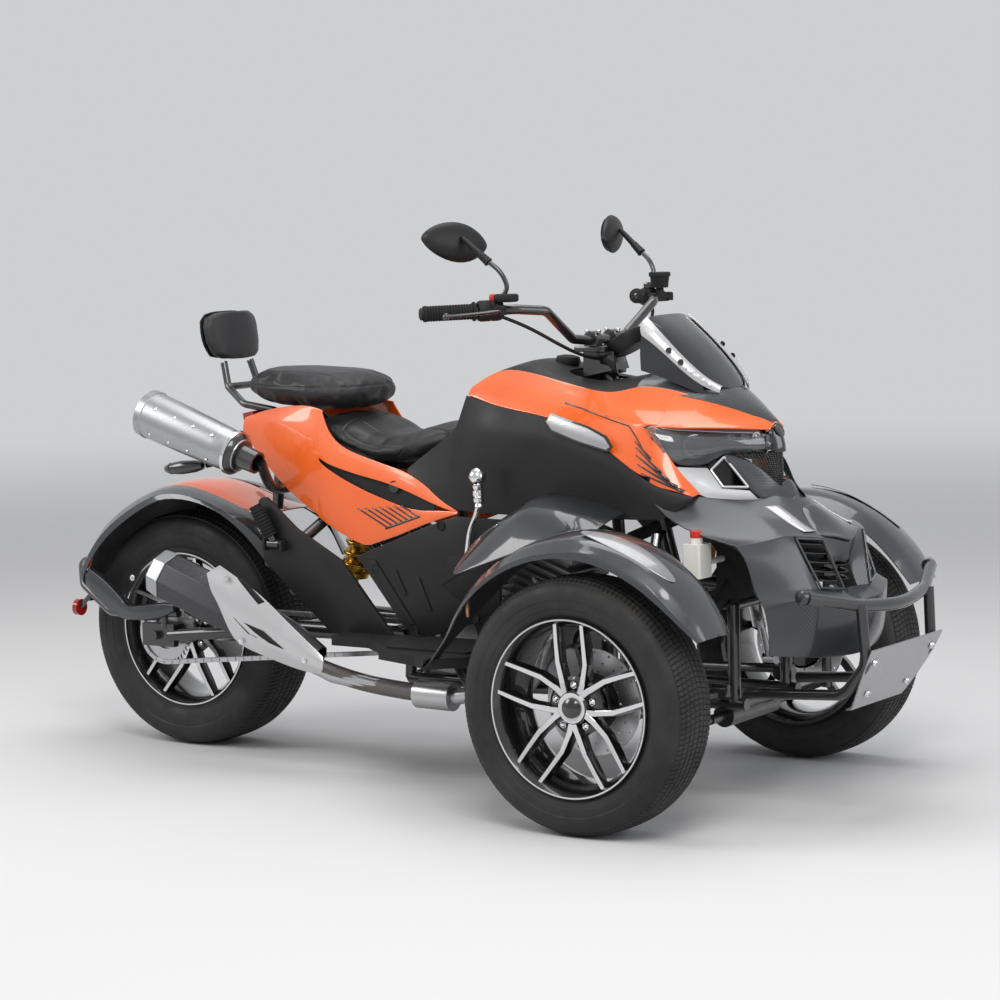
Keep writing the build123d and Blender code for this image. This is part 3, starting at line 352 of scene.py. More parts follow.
def lay_weave(form, lines):
    """The weave map: metres along the rows and across them."""
    weave = form.loops.layers.uv.new("weave")
    place = {}
    down = 0.0
    for number, line in enumerate(lines):
        if number:
            middle = len(line) // 2
            down += (line[middle].co - lines[number - 1][middle].co).length
        run = 0.0
        for index, vertex in enumerate(line):
            if index:
                run += (vertex.co - line[index - 1].co).length
            place[vertex] = (run, down)
    for face in form.faces:
        for loop in face.loops:
            loop[weave].uv = place.get(loop.vert, (0.0, 0.0))


def both_sides(form):
    """The form with its mirror image across the centre plane."""
    bmesh.ops.mirror(form, geom=form.verts[:] + form.edges[:] + form.faces[:], axis="Y", merge_dist=-1)
    bmesh.ops.recalc_face_normals(form, faces=form.faces)
    return form


def flipped(form):
    """The form moved to the other side of the centre plane."""
    bmesh.ops.scale(form, vec=(1, -1, 1), verts=form.verts)
    bmesh.ops.reverse_faces(form, faces=form.faces)
    return form


def join(*forms):
    """One form from several; the later ones are used up."""
    whole = forms[0]
    for other in forms[1:]:
        holder = bpy.data.meshes.new("joining")
        other.to_mesh(holder)
        other.free()
        whole.from_mesh(holder)
        bpy.data.meshes.remove(holder)
    return whole


def dress(form, number):
    """Gives all of a form the piece's finish of that number."""
    for face in form.faces:
        face.material_index = number
    return form


def turned(profile, centre, axis=(0, 1, 0), steps=64, finish=0):
    """A closed (along, radius) profile in millimetres spun about an axle through a point."""
    form = bmesh.new()
    along = Vector(axis).normalized()
    side = along.orthogonal().normalized()
    middle = at(*centre)
    ring = [form.verts.new(middle + along * (a / 1000) + side * (r / 1000)) for a, r in profile]
    edges = [form.edges.new(pair) for pair in zip(ring, ring[1:] + ring[:1])]
    bmesh.ops.spin(form, geom=ring + edges, cent=middle, axis=along, angle=2 * pi, steps=steps, use_merge=True)
    bmesh.ops.remove_doubles(form, verts=form.verts, dist=1e-6)
    bmesh.ops.recalc_face_normals(form, faces=form.faces)
    return dress(form, finish)


def bar(start, end, radius, end_radius=None, sides=24, finish=0):
    """A round bar between two points in millimetres, tapered where it has an end radius."""
    form = bmesh.new()
    low, high = at(*start), at(*end)
    span = high - low
    turn = span.to_track_quat("Z", "Y").to_matrix().to_4x4()
    tip = radius if end_radius is None else end_radius
    bmesh.ops.create_cone(form, cap_ends=True, segments=sides, radius1=radius / 1000, radius2=tip / 1000,
                          depth=span.length, matrix=Matrix.Translation((low + high) / 2) @ turn)
    return dress(form, finish)


def bars_round(corners):
    """Bars 6 mm thick from each corner in millimetres to the next, and from the last to the first."""
    whole = bmesh.new()
    for start, end in zip(corners, corners[1:] + corners[:1]):
        whole = join(whole, bar(start, end, 3.0, sides=10))
    return whole


def round_edges(form, bevel, segments=2):
    """Bevels every edge of a form by so many millimetres."""
    bmesh.ops.bevel(form, geom=form.edges[:], offset=bevel / 1000, segments=segments, profile=0.5, affect="EDGES",
                    material=-1)


def brick(low, high, bevel=0.0, finish=0):
    """A box between two corners in millimetres with rounded edges."""
    form = bmesh.new()
    a, b = at(*low), at(*high)
    bmesh.ops.create_cube(form, size=1.0, matrix=Matrix.Translation((a + b) / 2) @ Matrix.Diagonal((*(b - a), 1.0)))
    if bevel:
        round_edges(form, bevel)
    return dress(form, finish)


def slab(outline, thickness, bevel=0.0, finish=0):
    """A flat outline of points in millimetres, drawn out by its thickness along its own normal."""
    form = bmesh.new()
    face = form.faces.new([form.verts.new(at(*point)) for point in outline])
    face.normal_update()
    step = face.normal * (thickness / 1000)
    made = bmesh.ops.extrude_face_region(form, geom=[face])["geom"]
    bmesh.ops.translate(form, vec=step, verts=[item for item in made if isinstance(item, bmesh.types.BMVert)])
    bmesh.ops.recalc_face_normals(form, faces=form.faces)
    if bevel:
        round_edges(form, bevel)
    return dress(form, finish)


def apply_modifiers(made):
    """Bakes a piece's modifiers into its mesh."""
    bpy.context.view_layer.update()
    graph = bpy.context.evaluated_depsgraph_get()
    baked = bpy.data.meshes.new_from_object(made.evaluated_get(graph))
    made.modifiers.clear()
    made.data = baked


def carve(made, form):
    """Cuts a closed form out of a piece and bakes the result."""
    data = bpy.data.meshes.new("cutter")
    form.to_mesh(data)
    form.free()
    cutter = in_scene("cutter", data)
    cut = made.modifiers.new("carve", "BOOLEAN")
    cut.operation, cut.solver, cut.object = "DIFFERENCE", "EXACT", cutter
    apply_modifiers(made)
    bpy.data.objects.remove(cutter)
    return made


def hex_bolts(places, radius, height, finish=0):
    """Flanged hexagon heads: (centre, direction) each, standing on the surface."""
    whole = bmesh.new()
    for centre, direction in places:
        out = Vector(direction).normalized()
        base, top = Vector(centre), Vector(centre) + out * height
        whole = join(whole, bar(base, top, radius, radius * 0.96, 6),
                     bar(base + out * (height * 0.5), top + out * 0.6, radius * 0.7, radius * 0.5, 12),
                     bar(base, base + out * (height * 0.25), radius * 1.35, radius * 1.3, 16))
    return dress(whole, finish)


def tube(name, points, radius, body, finish, steps=(10, 5)):
    """A bent tube along a smooth curve, with closed ends; steps go along each span and round the tube."""
    data = bpy.data.curves.new(name, "CURVE")
    data.dimensions = "3D"
    data.resolution_u, data.bevel_resolution = steps
    data.bevel_depth, data.use_fill_caps = radius / 1000, True
    line = data.splines.new("NURBS")
    line.points.add(len(points) - 1)
    for spot, point in zip(line.points, points):
        spot.co = (*at(*point), 1.0)
    line.order_u, line.use_endpoint_u = 3, True
    made = in_scene(name, data)
    data.materials.append(FINISH[finish])
    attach(made, body)
    return made


# ---------------------------------------------------------------- wheels
def round_place(radius, angle, along, centre):
    """A point at a radius and angle (degrees, from X up to Z) about a cross-wise axle."""
    x, y, z = centre
    return (x + radius * cos(radians(angle)), y + along, z + radius * sin(radians(angle)))


def tread_tyre(name, body, centre, radius, width, node, blocks=150):
    """A road tyre: moulded side walls and a crown of slightly slanted blocks."""
    half, block_h = width / 2, 2.6
    crown = radius - block_h
    tread = [(0.80, 0.968), (0.63, 0.988), (0.46, 0.9955), (0.42, 0.9965), (0.25, 0.999), (0.21, 0.9995), (0.03, 1.0)]
    wall = [(0.86, 0.957), (0.93, 0.938), (0.975, 0.905), (0.995, 0.87), (0.995, 0.845), (0.98, 0.838),
            (0.985, 0.80), (0.97, 0.775), (0.955, 0.77), (0.94, 0.745), (0.90, 0.72), (0.85, 0.70)]
    right = [(a * half, r * crown) for a, r in tread[::-1] + wall]
    bead = [(half - 16.5, LIP_R - 10.5), (half - 26, LIP_R - 10.5), (half * 0.86, radius * 0.83),
            (half * 0.7, radius * 0.925)]
    outline = right + bead
    form = turned(outline + [(-a, r) for a, r in reversed(outline)], centre, steps=blocks)
    middle = at(*centre)
    lands = []
    for face in form.faces:
        offset = face.calc_center_median() - middle
        reach = sqrt(offset.x ** 2 + offset.z ** 2) * 1000
        share = abs(offset.y) * 1000 / half
        wide = max(abs(vert.co.y - middle.y) for vert in face.verts) * 1000 / half
        narrow = min(abs(vert.co.y - middle.y) for vert in face.verts) * 1000 / half
        if reach > crown * 0.95 and share < 0.85 and wide - narrow > 0.1:
            lands.append(face)
    for vert in form.verts:
        offset = vert.co - middle
        slant = radians(3.4) * min(1.0, abs(offset.y) * 1000 / half) ** 1.5
        spot = Matrix.Rotation(slant, 3, "Y") @ offset
        vert.co = middle + spot
    bmesh.ops.inset_individual(form, faces=lands, thickness=0.0014, depth=block_h / 1000, use_even_offset=True)
    limit = radius / 1000
    for vert in form.verts:
        offset = vert.co - middle
        reach = sqrt(offset.x ** 2 + offset.z ** 2)
        if reach > limit:
            vert.co = middle + Vector((offset.x * limit / reach, offset.y, offset.z * limit / reach))
    return piece(name, form, body, "tyre_rubber", "rubber", replaces=(node,), smooth=28)


def spoke_leg(centre, out, spoke_angle, lean, face_at, rows):
    """One leg of a double spoke: rows of (radial, sideways, width, face depth, back depth)."""
    turn = Matrix.Rotation(radians(-spoke_angle), 3, "Y")
    rings = []
    for up, across, width, face, back in rows:
        ring = []
        for side, depth, grow in ((-1, face, 0), (1, face, 0), (1, face - 5, 1.5), (1, back, 4), (-1, back, 4),
                                  (-1, face - 5, 1.5)):
            offset = turn @ Vector((up, 0, across * lean + side * (width / 2 + grow)))
            ring.append((centre[0] + offset.x, centre[1] + out * (face_at + depth), centre[2] + offset.z))
        rings.append(ring)
    form = skin(rings, closed=True, caps=True)
    round_edges(form, 0.6, segments=1)
    front = at(0, centre[1] + out * (face_at - 9), 0).y
    for face in form.faces:
        seen = face.normal.y * out > 0.8 and (face.calc_center_median().y - front) * out > 0
        face.material_index = 1 if seen else 0
    return form


def alloy_wheel(name, body, centre, out, half, node):
    """A five double-spoke wheel: black barrel, machined spoke faces and lip line, lug nuts and a domed cap."""
    def lathe(profile, steps, finish=0):
        return turned([(a * out, r) for a, r in profile], centre, steps=steps, finish=finish)

    parts = [lathe([(half, LIP_R - 1), (half - 0.5, LIP_R - 6), (half - 3, LIP_R - 8), (half - 9, LIP_R - 12),
                    (half - 22, LIP_R - 21), (half - 60, LIP_R - 26), (-half + 40, LIP_R - 27),
                    (-half + 12, LIP_R - 19), (-half, LIP_R - 9), (-half, LIP_R - 1), (-half + 5, LIP_R),
                    (-half + 10, LIP_R - 4), (-half + 15, LIP_R - 11), (half - 15, LIP_R - 11),
                    (half - 10, LIP_R - 4), (half - 5, LIP_R)], 96),
             lathe([(half + 0.4, LIP_R - 2.5), (half + 0.4, LIP_R - 5.5), (half - 2, LIP_R - 6.5),
                    (half - 2, LIP_R - 2.5)], 96, finish=1)]
    legs = [(26, 17, 15, -6, -30), (52, 25, 13, -8, -34), (94, 34, 11.5, -6, -30), (140, 34, 10, 0, -24),
            (LIP_R - 9, 33, 9, 5, -12)]
    face_at = half - 14
    for number in range(5):
        angle = 90 + 72 * number
        for lean in (-1, 1):
            parts.append(spoke_leg(centre, out, angle, lean, face_at, legs))
        seat = round_place(48, angle, 0, centre)
        low, high, tip = [(seat[0], seat[1] + out * (face_at + depth), seat[2]) for depth in (-30, -14, -10)]
        parts += [bar(low, high, 8.5, 8.0, 6, finish=2), bar(high, tip, 6.5, 3.0, 12, finish=2)]

    def hub(profile, steps):
        return lathe([(face_at + a, r) for a, r in profile], steps)

    parts.append(hub([(-44, 12.6), (-21, 12.6), (-21, 30), (-20, 60), (-24, 66), (-44, 60)], 60))
    ring = hub([(-22, 20), (-5, 20), (-4, 23), (-4, 33), (-8, 37), (-22, 40)], 60)
    for face in ring.faces:
        face.material_index = 1 if face.normal.y * out > 0.9 else 0
    parts += [ring, hub([(-20, AXIS), (-20, 22), (-3, 22.5), (1, 21), (5, 16), (7.5, 9), (8, AXIS)], 48)]
    return piece(name, join(*parts), body, "black_alloy", "alloy", "cut", "chrome", replaces=(node,), smooth=30)


def drilled_disc(name, body, centre, plane, inner, outer, node):
    """A brake disc with drilled holes between two planes."""
    a, b = plane
    rotor = turned([(a, inner), (b, inner), (b, outer), (a, outer)], centre, steps=120)
    holes = bmesh.new()
    for number in range(36):
        for row, radius in enumerate((inner + 9, (inner + outer) / 2 + 1, outer - 8)):
            if (number + row) % 2:
                continue
            x, y, z = round_place(radius, number * 10 + row * 4, 0, centre)
            holes = join(holes, bar((x, y + a - 4, z), (x, y + b + 4, z), 3.1, sides=12))
    return carve(piece(name, rotor, body, "disc_steel", "steel", replaces=(node,), smooth=30), holes)


def wheels():
    """Tyres, wheels and discs, each on its own axle, and the calipers on their uprights."""
    for side, name in SIDES:
        centre, body = (0, side * FRONT_Y, FRONT_R), f"front_wheel_{name}"
        tread_tyre(f"front_tread_{name}", body, centre, FRONT_R, FRONT_W, f"front_tyre_{name}")
        alloy_wheel(f"front_alloy_{name}", body, centre, side, FRONT_W / 2 - 1, f"front_rim_{name}")
        drilled_disc(f"front_rotor_{name}", body, centre, sorted((-36 * side, -31 * side)), 58, 116,
                     f"front_disc_{name}")
        bell = [(-36, 34), (-8, 34), (-8, 50), (-29, 52), (-30.5, 64), (-36, 64)]
        piece(f"front_bell_{name}", turned([(a * side, r) for a, r in bell], centre, steps=60), body, "disc_steel",
              "frame", smooth=30)
        caliper(side, name)
    centre = (REAR_X, 0, REAR_R)
    tread_tyre("rear_tread", "rear_wheel", centre, REAR_R, REAR_W, "rear_tyre", blocks=156)
    alloy_wheel("rear_alloy", "rear_wheel", centre, -1, REAR_W / 2 - 12, "rear_rim")


def caliper(side, name):
    """A caliper over the disc's rear edge, carved out where the disc runs."""
    y = side * FRONT_Y
    rows = []
    for angle, low, high in ((106, 70, 128), (112, 62, 133), (128, 60, 136), (144, 62, 133), (150, 70, 128)):
        ring = []
        for radius, depth in ((low, -13), (low, -64), (high - 8, -66), (high, -58), (high, -19), (high - 8, -11)):
            ring.append(round_place(radius, angle, depth * side, (0, y, FRONT_R)))
        rows.append(ring)
    body = skin(rows, closed=True, caps=True)
    gap = turned([(a * side, r) for a, r in ((-39, 50), (-28, 50), (-28, 122), (-39, 122))], (0, y, FRONT_R), steps=72)
    made = piece(f"front_caliper_{name}", body, f"knuckle_{name}_body", "dark_metal", "cast", smooth=40)
    soften(carve(made, gap), bevel=2.0)


# ---------------------------------------------------------------- bodywork
def crease_rows(form, across, columns, rows=()):
    """Crisp edges along some columns and rows of a skin that is across points wide."""
    layer = form.edges.layers.float.new("crease_edge")
    form.verts.index_update()
    for edge in form.edges:
        first, second = (vert.index for vert in edge.verts)
        for column, strength in columns:
            if first % across == column and second % across == column:
                edge[layer] = strength
        for row, strength in rows:
            if first // across == row and second // across == row:
                edge[layer] = strength


def open_cells(form, across, cells):
    """Windows in a skin: takes out the cell after each (row, column)."""
    form.verts.index_update()
    gone = []
    for row, column in cells:
        corner = row * across + column
        wanted = {corner, corner + 1, corner + across, corner + across + 1}
        gone += [face for face in form.faces if {vert.index for vert in face.verts} == wanted]
    bmesh.ops.delete(form, geom=gone, context="FACES")


def sheet(rows, creases=(), row_creases=(), windows=()):
    """A skin that faces away from the centre plane, with crisp edges and open windows."""
    form = skin(rows)
    crease_rows(form, len(rows[0]), creases, row_creases)
    open_cells(form, len(rows[0]), windows)
    return face_out(form)


def face_out(form, lean=(0, -1, 0.5)):
    """Turns the faces of each half of a sheet away from the centre plane."""
    for side in (-1, 1):
        half = [face for face in form.faces if face.calc_center_median().y * side > 0]
        total = sum((face.normal * face.calc_area() for face in half), Vector())
        if total.dot(Vector((lean[0], -lean[1] * side, lean[2]))) < 0:
            bmesh.ops.reverse_faces(form, faces=half)
    return form


def sheet_pair(form):
    """A sheet and its mirror image, joined where they meet on the centre plane."""
    bmesh.ops.mirror(form, geom=form.verts[:] + form.edges[:] + form.faces[:], axis="Y", merge_dist=-1)
    bmesh.ops.remove_doubles(form, verts=form.verts, dist=1e-5)
    form.normal_update()
    return face_out(form)


def cover(name, form, slot, *finishes, replaces=(), smooth=180, **softening):
    """A piece of the chassis with its wall, edges and subdivision."""
    return soften(piece(name, form, "chassis", slot, *finishes, replaces=replaces, smooth=smooth), **softening)


def mirrored(points):
    """Points on the other side of the centre plane."""
    return [(x, -y, z) for x, y, z in points]


def halves(rows, *creases, windows=()):
    """A sheet given by the rows of its left half, and its mirror image."""
    return sheet_pair(sheet([mirrored(row) for row in rows], *creases, windows=windows))


def panels(name, stations, slot, finish, creases=(), replaces=(), wall=4.0, levels=2):
    """A right-hand panel, given as x then (half-width, z) points at each station, and its mirror image."""
    rows = [[(x, half, z) for half, z in points] for x, *points in stations]
    return cover(name, halves(rows, creases), slot, finish, replaces=replaces, wall=wall, bevel=0.8, levels=levels)


def shoulders():
    """Orange shoulders from the dash down to the satin side, drawn forward over the lamps."""
    stations = [(-514, (148, 926), (156, 920), (162, 914), (166, 908)),
                (-470, (126, 958), (148, 938), (166, 918), (178, 899)),
                (-430, (112, 968), (150, 936), (178, 906), (190, 889)),
                (-350, (122, 956), (158, 926), (186, 900), (200, 877)),
                (-285, (131, 942), (164, 917), (189, 893), (208, 870)),
                (-210, (142, 928), (168, 906), (191, 884), (215, 850)),
                (-149, (151, 918), (172, 898), (194, 874), (222, 824)),
                (-100, (146, 926), (174, 893), (197, 866), (227, 796)),
                (-69, (141, 936), (175, 890), (199, 862), (231, 777)),
                (-20, (134, 932), (174, 884), (203, 857), (233, 744)),
                (12, (126, 926), (168, 878), (200, 855), (233, 742))]
    panels("shoulder_panels", stations, "orange_paint", "orange", ((1, 0.55), (2, 0.75)), ("upper_cowl",))
    brow = [(12, (126, 926), (168, 878), (198, 856), (206, 852)), (60, (110, 912), (150, 874), (180, 856), (196, 850)),
            (109, (84, 895), (112, 870), (136, 854), (152, 848)), (150, (46, 878), (70, 862), (92, 850), (106, 844)),
            (182, (20, 862), (40, 852), (56, 845), (66, 840)), (200, (6, 852), (14, 848), (24, 842), (30, 836))]
    panels("brow_panels", brow, "orange_paint", "orange", ((1, 0.5), (3, 0.9)))
    cheek = [(8, (209, 851), (220, 812), (229, 775), (234, 728)),
             (30, (212, 806), (222, 776), (231, 746), (234, 720)), (62, (206, 760), (216, 744), (225, 728), (230, 715)),
             (90, (198, 729), (207, 722), (216, 714), (224, 708)),
             (108, (186, 705), (196, 704), (208, 703), (219, 702))]
    panels("cheek_panels", cheek, "orange_paint", "orange")


CAST = 500                   # mm in front of a patch from where it is cast on the pieces
STRAY = 60                   # mm of depth off the middle one that make a cast a miss


def draped(names, corners, across=2, down=6, lift=1.0, way=(0, 1, 0)):
    """Rows of points laid on some pieces from four corners in millimetres, cast along a direction."""
    graph = bpy.context.evaluated_depsgraph_get()
    trees = [BVHTree.FromObject(bpy.data.objects[name], graph) for name in names]
    way = Vector(way).normalized()
    a, b, c, d = (Vector(corner) for corner in corners)
    spots, depths = [], []
    for step in range(down + 1):
        left, right = a.lerp(d, step / down), b.lerp(c, step / down)
        line = [left.lerp(right, number / across) for number in range(across + 1)]
        hits = []
        for spot in line:
            found = [tree.ray_cast(at(*(spot - way * CAST)), way)[3] for tree in trees]
            hits.append(min((distance * 1000 for distance in found if distance), default=None))
        spots.append(line)
        depths.append(hits)
    known = [depth for hits in depths for depth in hits if depth]
    middle = sorted(known)[len(known) // 2]
    depths = [[depth if depth and abs(depth - middle) < STRAY else middle for depth in hits] for hits in depths]
    for _ in range(2):
        depths = [[sum(depths[min(max(step + k, 0), down)][number] for k in (-1, 0, 1)) / 3
                   for number in range(across + 1)] for step in range(down + 1)]
    return [[tuple(spot + way * (depth - CAST - lift)) for spot, depth in zip(line, hits)]
            for line, hits in zip(spots, depths)]


def on_side(names, corners, **values):
    """A patch on the right-hand side of some pieces, from four (x, z) corners."""
    return sheet(draped(names, [(x, -220, z) for x, z in corners], **values))


def slashes():
    """Dark slanting flashes on the cheeks, a seam line along the shoulders and louvre stripes on the tail."""
    whole = bmesh.new()
    skins = ("shoulder_panels", "cheek_panels")
    for start, end, wide in (((-38, 818), (8, 781), 2.4), ((-34, 805), (36, 754), 2.8), ((-32, 789), (54, 737), 3.4),
                             ((-25, 769), (72, 724), 3.8), ((-14, 750), (88, 714), 3.4)):
        low, high = (end[0] - wide * 0.6, end[1] - wide), (end[0] + wide * 0.6, end[1] + wide * 0.4)
        whole = join(whole, on_side(skins, [start, (start[0] + 1, start[1] + 1.5), high, low], across=1, down=8,
                                    lift=3.0))
    seam = ((-241, 896), (-192, 885), (-123, 866), (-61, 850), (-37, 826), (-14, 796))
    for (x, z), (end_x, end_z) in zip(seam, seam[1:]):
        whole = join(whole, on_side(skins, [(x, z), (x + 1, z + 2.4), (end_x + 1, end_z + 2.4), (end_x, end_z)],
                                    across=1, down=6, lift=1.8))
    blade = ("tail_lower_blade",)
    for number in range(7):
        t = number / 6
        top, foot = (-829 + 128 * t, 634 + 12 * t), (-738 + 92 * t, 591 + 30 * t)
        whole = join(whole, on_side(blade, [top, (top[0] + 7, top[1] + 0.6), (foot[0] + 7, foot[1] + 1.2), foot],
                                    down=8))
    whole = join(whole, on_side(blade, [(-744, 588), (-640, 622), (-641, 627), (-745, 593)], across=8, down=1))
    cover("panel_flashes", sheet_pair(whole), "black_plastic", "piano", smooth=60, wall=1.4)


def tank_flanks():
    """Satin black flanks between the shoulders, the seat and the front arch."""
    stations = [(-690, (163, 733), (164, 730), (166, 724), (168, 718), (168, 712)),
                (-640, (162, 768), (166, 750), (172, 724), (180, 696), (184, 678)),
                (-590, (166, 800), (172, 770), (180, 730), (187, 692), (190, 664)),
                (-548, (170, 828), (178, 786), (186, 736), (193, 690), (196, 650)),
                (-518, (166, 907), (184, 840), (196, 760), (200, 700), (200, 642)),
                (-430, (190, 888), (206, 838), (214, 772), (208, 706), (202, 640)),
                (-340, (200, 874), (214, 828), (218, 768), (210, 706), (203, 639)),
                (-285, (208, 869), (220, 822), (222, 760), (214, 700), (206, 640)),
                (-200, (216, 846), (228, 806), (230, 752), (220, 700), (213, 642)),
                (-110, (227, 804), (236, 772), (236, 730), (228, 690), (223, 644)),
                (-40, (234, 758), (240, 742), (240, 716), (236, 684), (232, 646)),
                (10, (236, 728), (242, 718), (244, 704), (243, 680), (239, 648)),
                (60, (232, 712), (238, 708), (243, 696), (245, 680), (244, 654)),
                (112, (221, 701), (222, 701), (223, 700), (224, 699), (224, 698))]
    panels("flank_panels", stations, "black_plastic", "satin", ((1, 0.35), (3, 0.4)), ("tank_sides",))


def dash():
    """The satin dash from the seat to the screen, cut open for the steering column, and the filler cap."""
    stations = [(-566, (0, 846), (50, 842), (92, 832), (118, 826)), (-545, (0, 886), (60, 880), (112, 866), (142, 852)),
                (-520, (0, 926), (66, 919), (120, 906), (150, 918)),
                (-470, (0, 966), (64, 962), (104, 958), (128, 952)),
                (-420, (0, 986), (56, 983), (96, 977), (114, 966)), (-376, (0, 985), (60, 981), (100, 972), (121, 957)),
                (-330, (0, 976), (62, 970), (104, 962), (127, 948)),
                (-300, (0, 958), (64, 950), (106, 950), (131, 941)),
                (-230, (0, 942), (66, 938), (112, 938), (141, 929)),
                (-170, (0, 944), (74, 940), (122, 930), (150, 918)),
                (-120, (0, 956), (78, 950), (124, 936), (148, 922)), (-76, (0, 962), (80, 955), (122, 945), (142, 933))]
    made = panels("dash_cover", stations, "black_plastic", "satin", ((2, 0.4),), ("dash_panel",))
    back, front, lid = -310, -170, 986
    carve(made, brick((back, -60, 900), (front, 60, 1010), bevel=14))
    form = bmesh.new()
    form.from_mesh(made.data)
    low, high = at(back - 1, 0, lid), at(front + 1, 0, lid)
    bmesh.ops.delete(form, context="FACES",
                     geom=[face for face in form.faces if any(vert.co.z > low.z for vert in face.verts)
                           and low.x < face.calc_center_median().x < high.x])
    form.to_mesh(made.data)
    form.free()
    cap = [(0, AXIS), (0, 28), (8, 29), (16, 26), (19, 14), (20, AXIS)]
    piece("filler_cap", turned(cap, (-345, 0, 973), (0.08, 0, 1)), "chassis", "black_plastic", "matte")


def tail():
    """Orange tail panels: the rear web, an upper and a lower blade; and a black one inside them."""
    rear = [(-1224, (92, 834), (98, 830), (102, 818), (104, 802)),
            (-1170, (104, 850), (114, 838), (122, 806), (126, 758)),
            (-1108, (118, 862), (132, 838), (144, 780), (148, 713)),
            (-1060, (126, 868), (142, 832), (154, 760), (158, 676)),
            (-1010, (134, 872), (150, 826), (164, 742), (168, 646)),
            (-975, (142, 868), (156, 812), (168, 728), (172, 628)),
            (-948, (148, 862), (160, 800), (170, 716), (173, 612))]
    panels("tail_rear", rear, "orange_paint", "orange", ((1, 0.3),), ("tail_panels",))
    upper = [(-950, (148, 862), (156, 826), (164, 790), (168, 752)),
             (-925, (160, 810), (164, 786), (168, 764), (171, 738)),
             (-880, (166, 776), (170, 762), (173, 746), (175, 726)),
             (-820, (168, 758), (172, 746), (175, 731), (177, 712)),
             (-760, (170, 742), (174, 731), (177, 718), (179, 702)),
             (-700, (172, 729), (177, 716), (181, 702), (184, 688)),
             (-640, (180, 704), (184, 692), (187, 680), (189, 668)),
             (-585, (190, 668), (192, 661), (194, 655), (195, 650)),
             (-529, (198, 641), (199, 640), (199, 638), (199, 637))]
    panels("tail_upper_blade", upper, "orange_paint", "orange", ((1, 0.5),))
    lower = [(-950, (168, 744), (170, 700), (172, 656), (173, 611)),
             (-925, (171, 726), (173, 684), (175, 640), (176, 594)),
             (-880, (174, 705), (176, 664), (178, 620), (179, 574)),
             (-843, (176, 690), (178, 650), (180, 604), (181, 558)),
             (-808, (177, 677), (179, 640), (181, 596), (182, 547)),
             (-790, (178, 671), (180, 634), (182, 594), (183, 549)),
             (-740, (180, 656), (182, 626), (184, 596), (185, 566)),
             (-690, (182, 642), (185, 622), (187, 602), (188, 582)),
             (-640, (186, 636), (189, 625), (191, 614), (192, 602)),
             (-585, (193, 641), (195, 634), (196, 627), (196, 620)),
             (-529, (199, 640), (199, 639), (200, 637), (200, 635))]
    panels("tail_lower_blade", lower, "orange_paint", "orange", ((2, 0.2),))
    inner = [(-955, (146, 800), (154, 760), (160, 700)), (-880, (156, 782), (162, 740), (166, 690)),
             (-780, (160, 744), (168, 706), (172, 660)), (-680, (168, 716), (176, 680), (180, 630)),
             (-600, (182, 676), (188, 656), (190, 630))]
    panels("tail_inner", inner, "black_plastic", "matte", wall=3.0, levels=1)


def side_covers():
    """Satin covers: the centre cover with its lever recess and the rear frame cover with its ridge."""
    y = -222
    centre = [(-803, y, 527), (-670, y, 364), (-634, y, 350), (-592, y, 350), (-487, y, 383), (-404, y, 420),
              (-398, y, 500), (-398, y, 630), (-521, y, 632), (-600, y, 606)]
    recess = [(-562, 470), (-500, 432), (-440, 442), (-424, 500), (-430, 544), (-540, 540)]
    parts = [slab(centre, -10, bevel=2.5), slab([(x, y - 1.5, z) for x, z in recess], -1.6, 0.6, finish=1)]
    for outline in (((-640, 480), (-604, 408), (-590, 410), (-624, 486)),
                    ((-772, 520), (-652, 372), (-640, 376), (-748, 520)),
                    ((-700, 500), (-668, 440), (-660, 444), (-690, 502)),
                    ((-570, 480), (-560, 470), (-430, 548), (-436, 556))):
        parts.append(slab([(x, y - 3, z) for x, z in outline], -3.2, 1.0))
    ring = [(0, AXIS), (0, 11), (3, 11), (3, 8), (1, 7.5), (1, AXIS)]
    for x, z in ((-470, 400), (-640, 360), (-748, 500), (-560, 610)):
        parts.append(turned(ring, (x, y, z), (0, -1, 0), steps=24, finish=1))
    piece("centre_covers", both_sides(join(*parts)), "chassis", "black_plastic", "satin", "matte",
          replaces=("mid_side_panels",), smooth=30)
    y = -224
    rear = [(-1080, y, 649), (-1070, y, 657), (-1056, y, 657), (-969, y, 586), (-839, y, 516), (-686, y, 337),
            (-700, y, 334), (-874, y, 342), (-1068, y, 504)]
    crest = [[(-1062, 640), (-1050, 646), (-1036, 640)], [(-962, 512), (-946, 540), (-930, 548)],
             [(-856, 424), (-838, 456), (-818, 464)], [(-736, 342), (-722, 356), (-712, 352)]]
    ridge = skin([[(x, y - depth, z) for (x, z), depth in zip(row, (0, 9 if 0 < number < 3 else 2, 0))]
                  for number, row in enumerate(crest)])
    parts = [slab(rear, -12, bevel=2.5), ridge]
    for x, z in ((-845, 480), (-859, 366), (-1040, 600)):
        parts.append(turned(ring, (x, y, z), (0, -1, 0), steps=24, finish=1))
    bolts = hex_bolts([((-1062, y, 500), (0, -1, 0)), ((-989, y, 436), (0, -1, 0))], 9, 7, finish=2)
    brackets = join(*[brick((x, -257, 532), (x + 7.5, y, 558), 1.5) for x in (-1056, -1005.5)])
    piece("rear_covers", both_sides(join(*parts, bolts, brackets)), "chassis", "black_plastic", "satin", "piano",
          "chrome", replaces=("rear_side_panels",), smooth=30)


def fender_arch(centre_x, centre_z, stations, side):
    """Rows of a fender: at each angle about the axle, (half-width, radius) points."""
    rows = []
    for angle, *points in stations:
        c, s = cos(radians(angle)), sin(radians(angle))
        rows.append([(centre_x + r * c, side * y, centre_z + r * s) for y, r in points])
    return rows


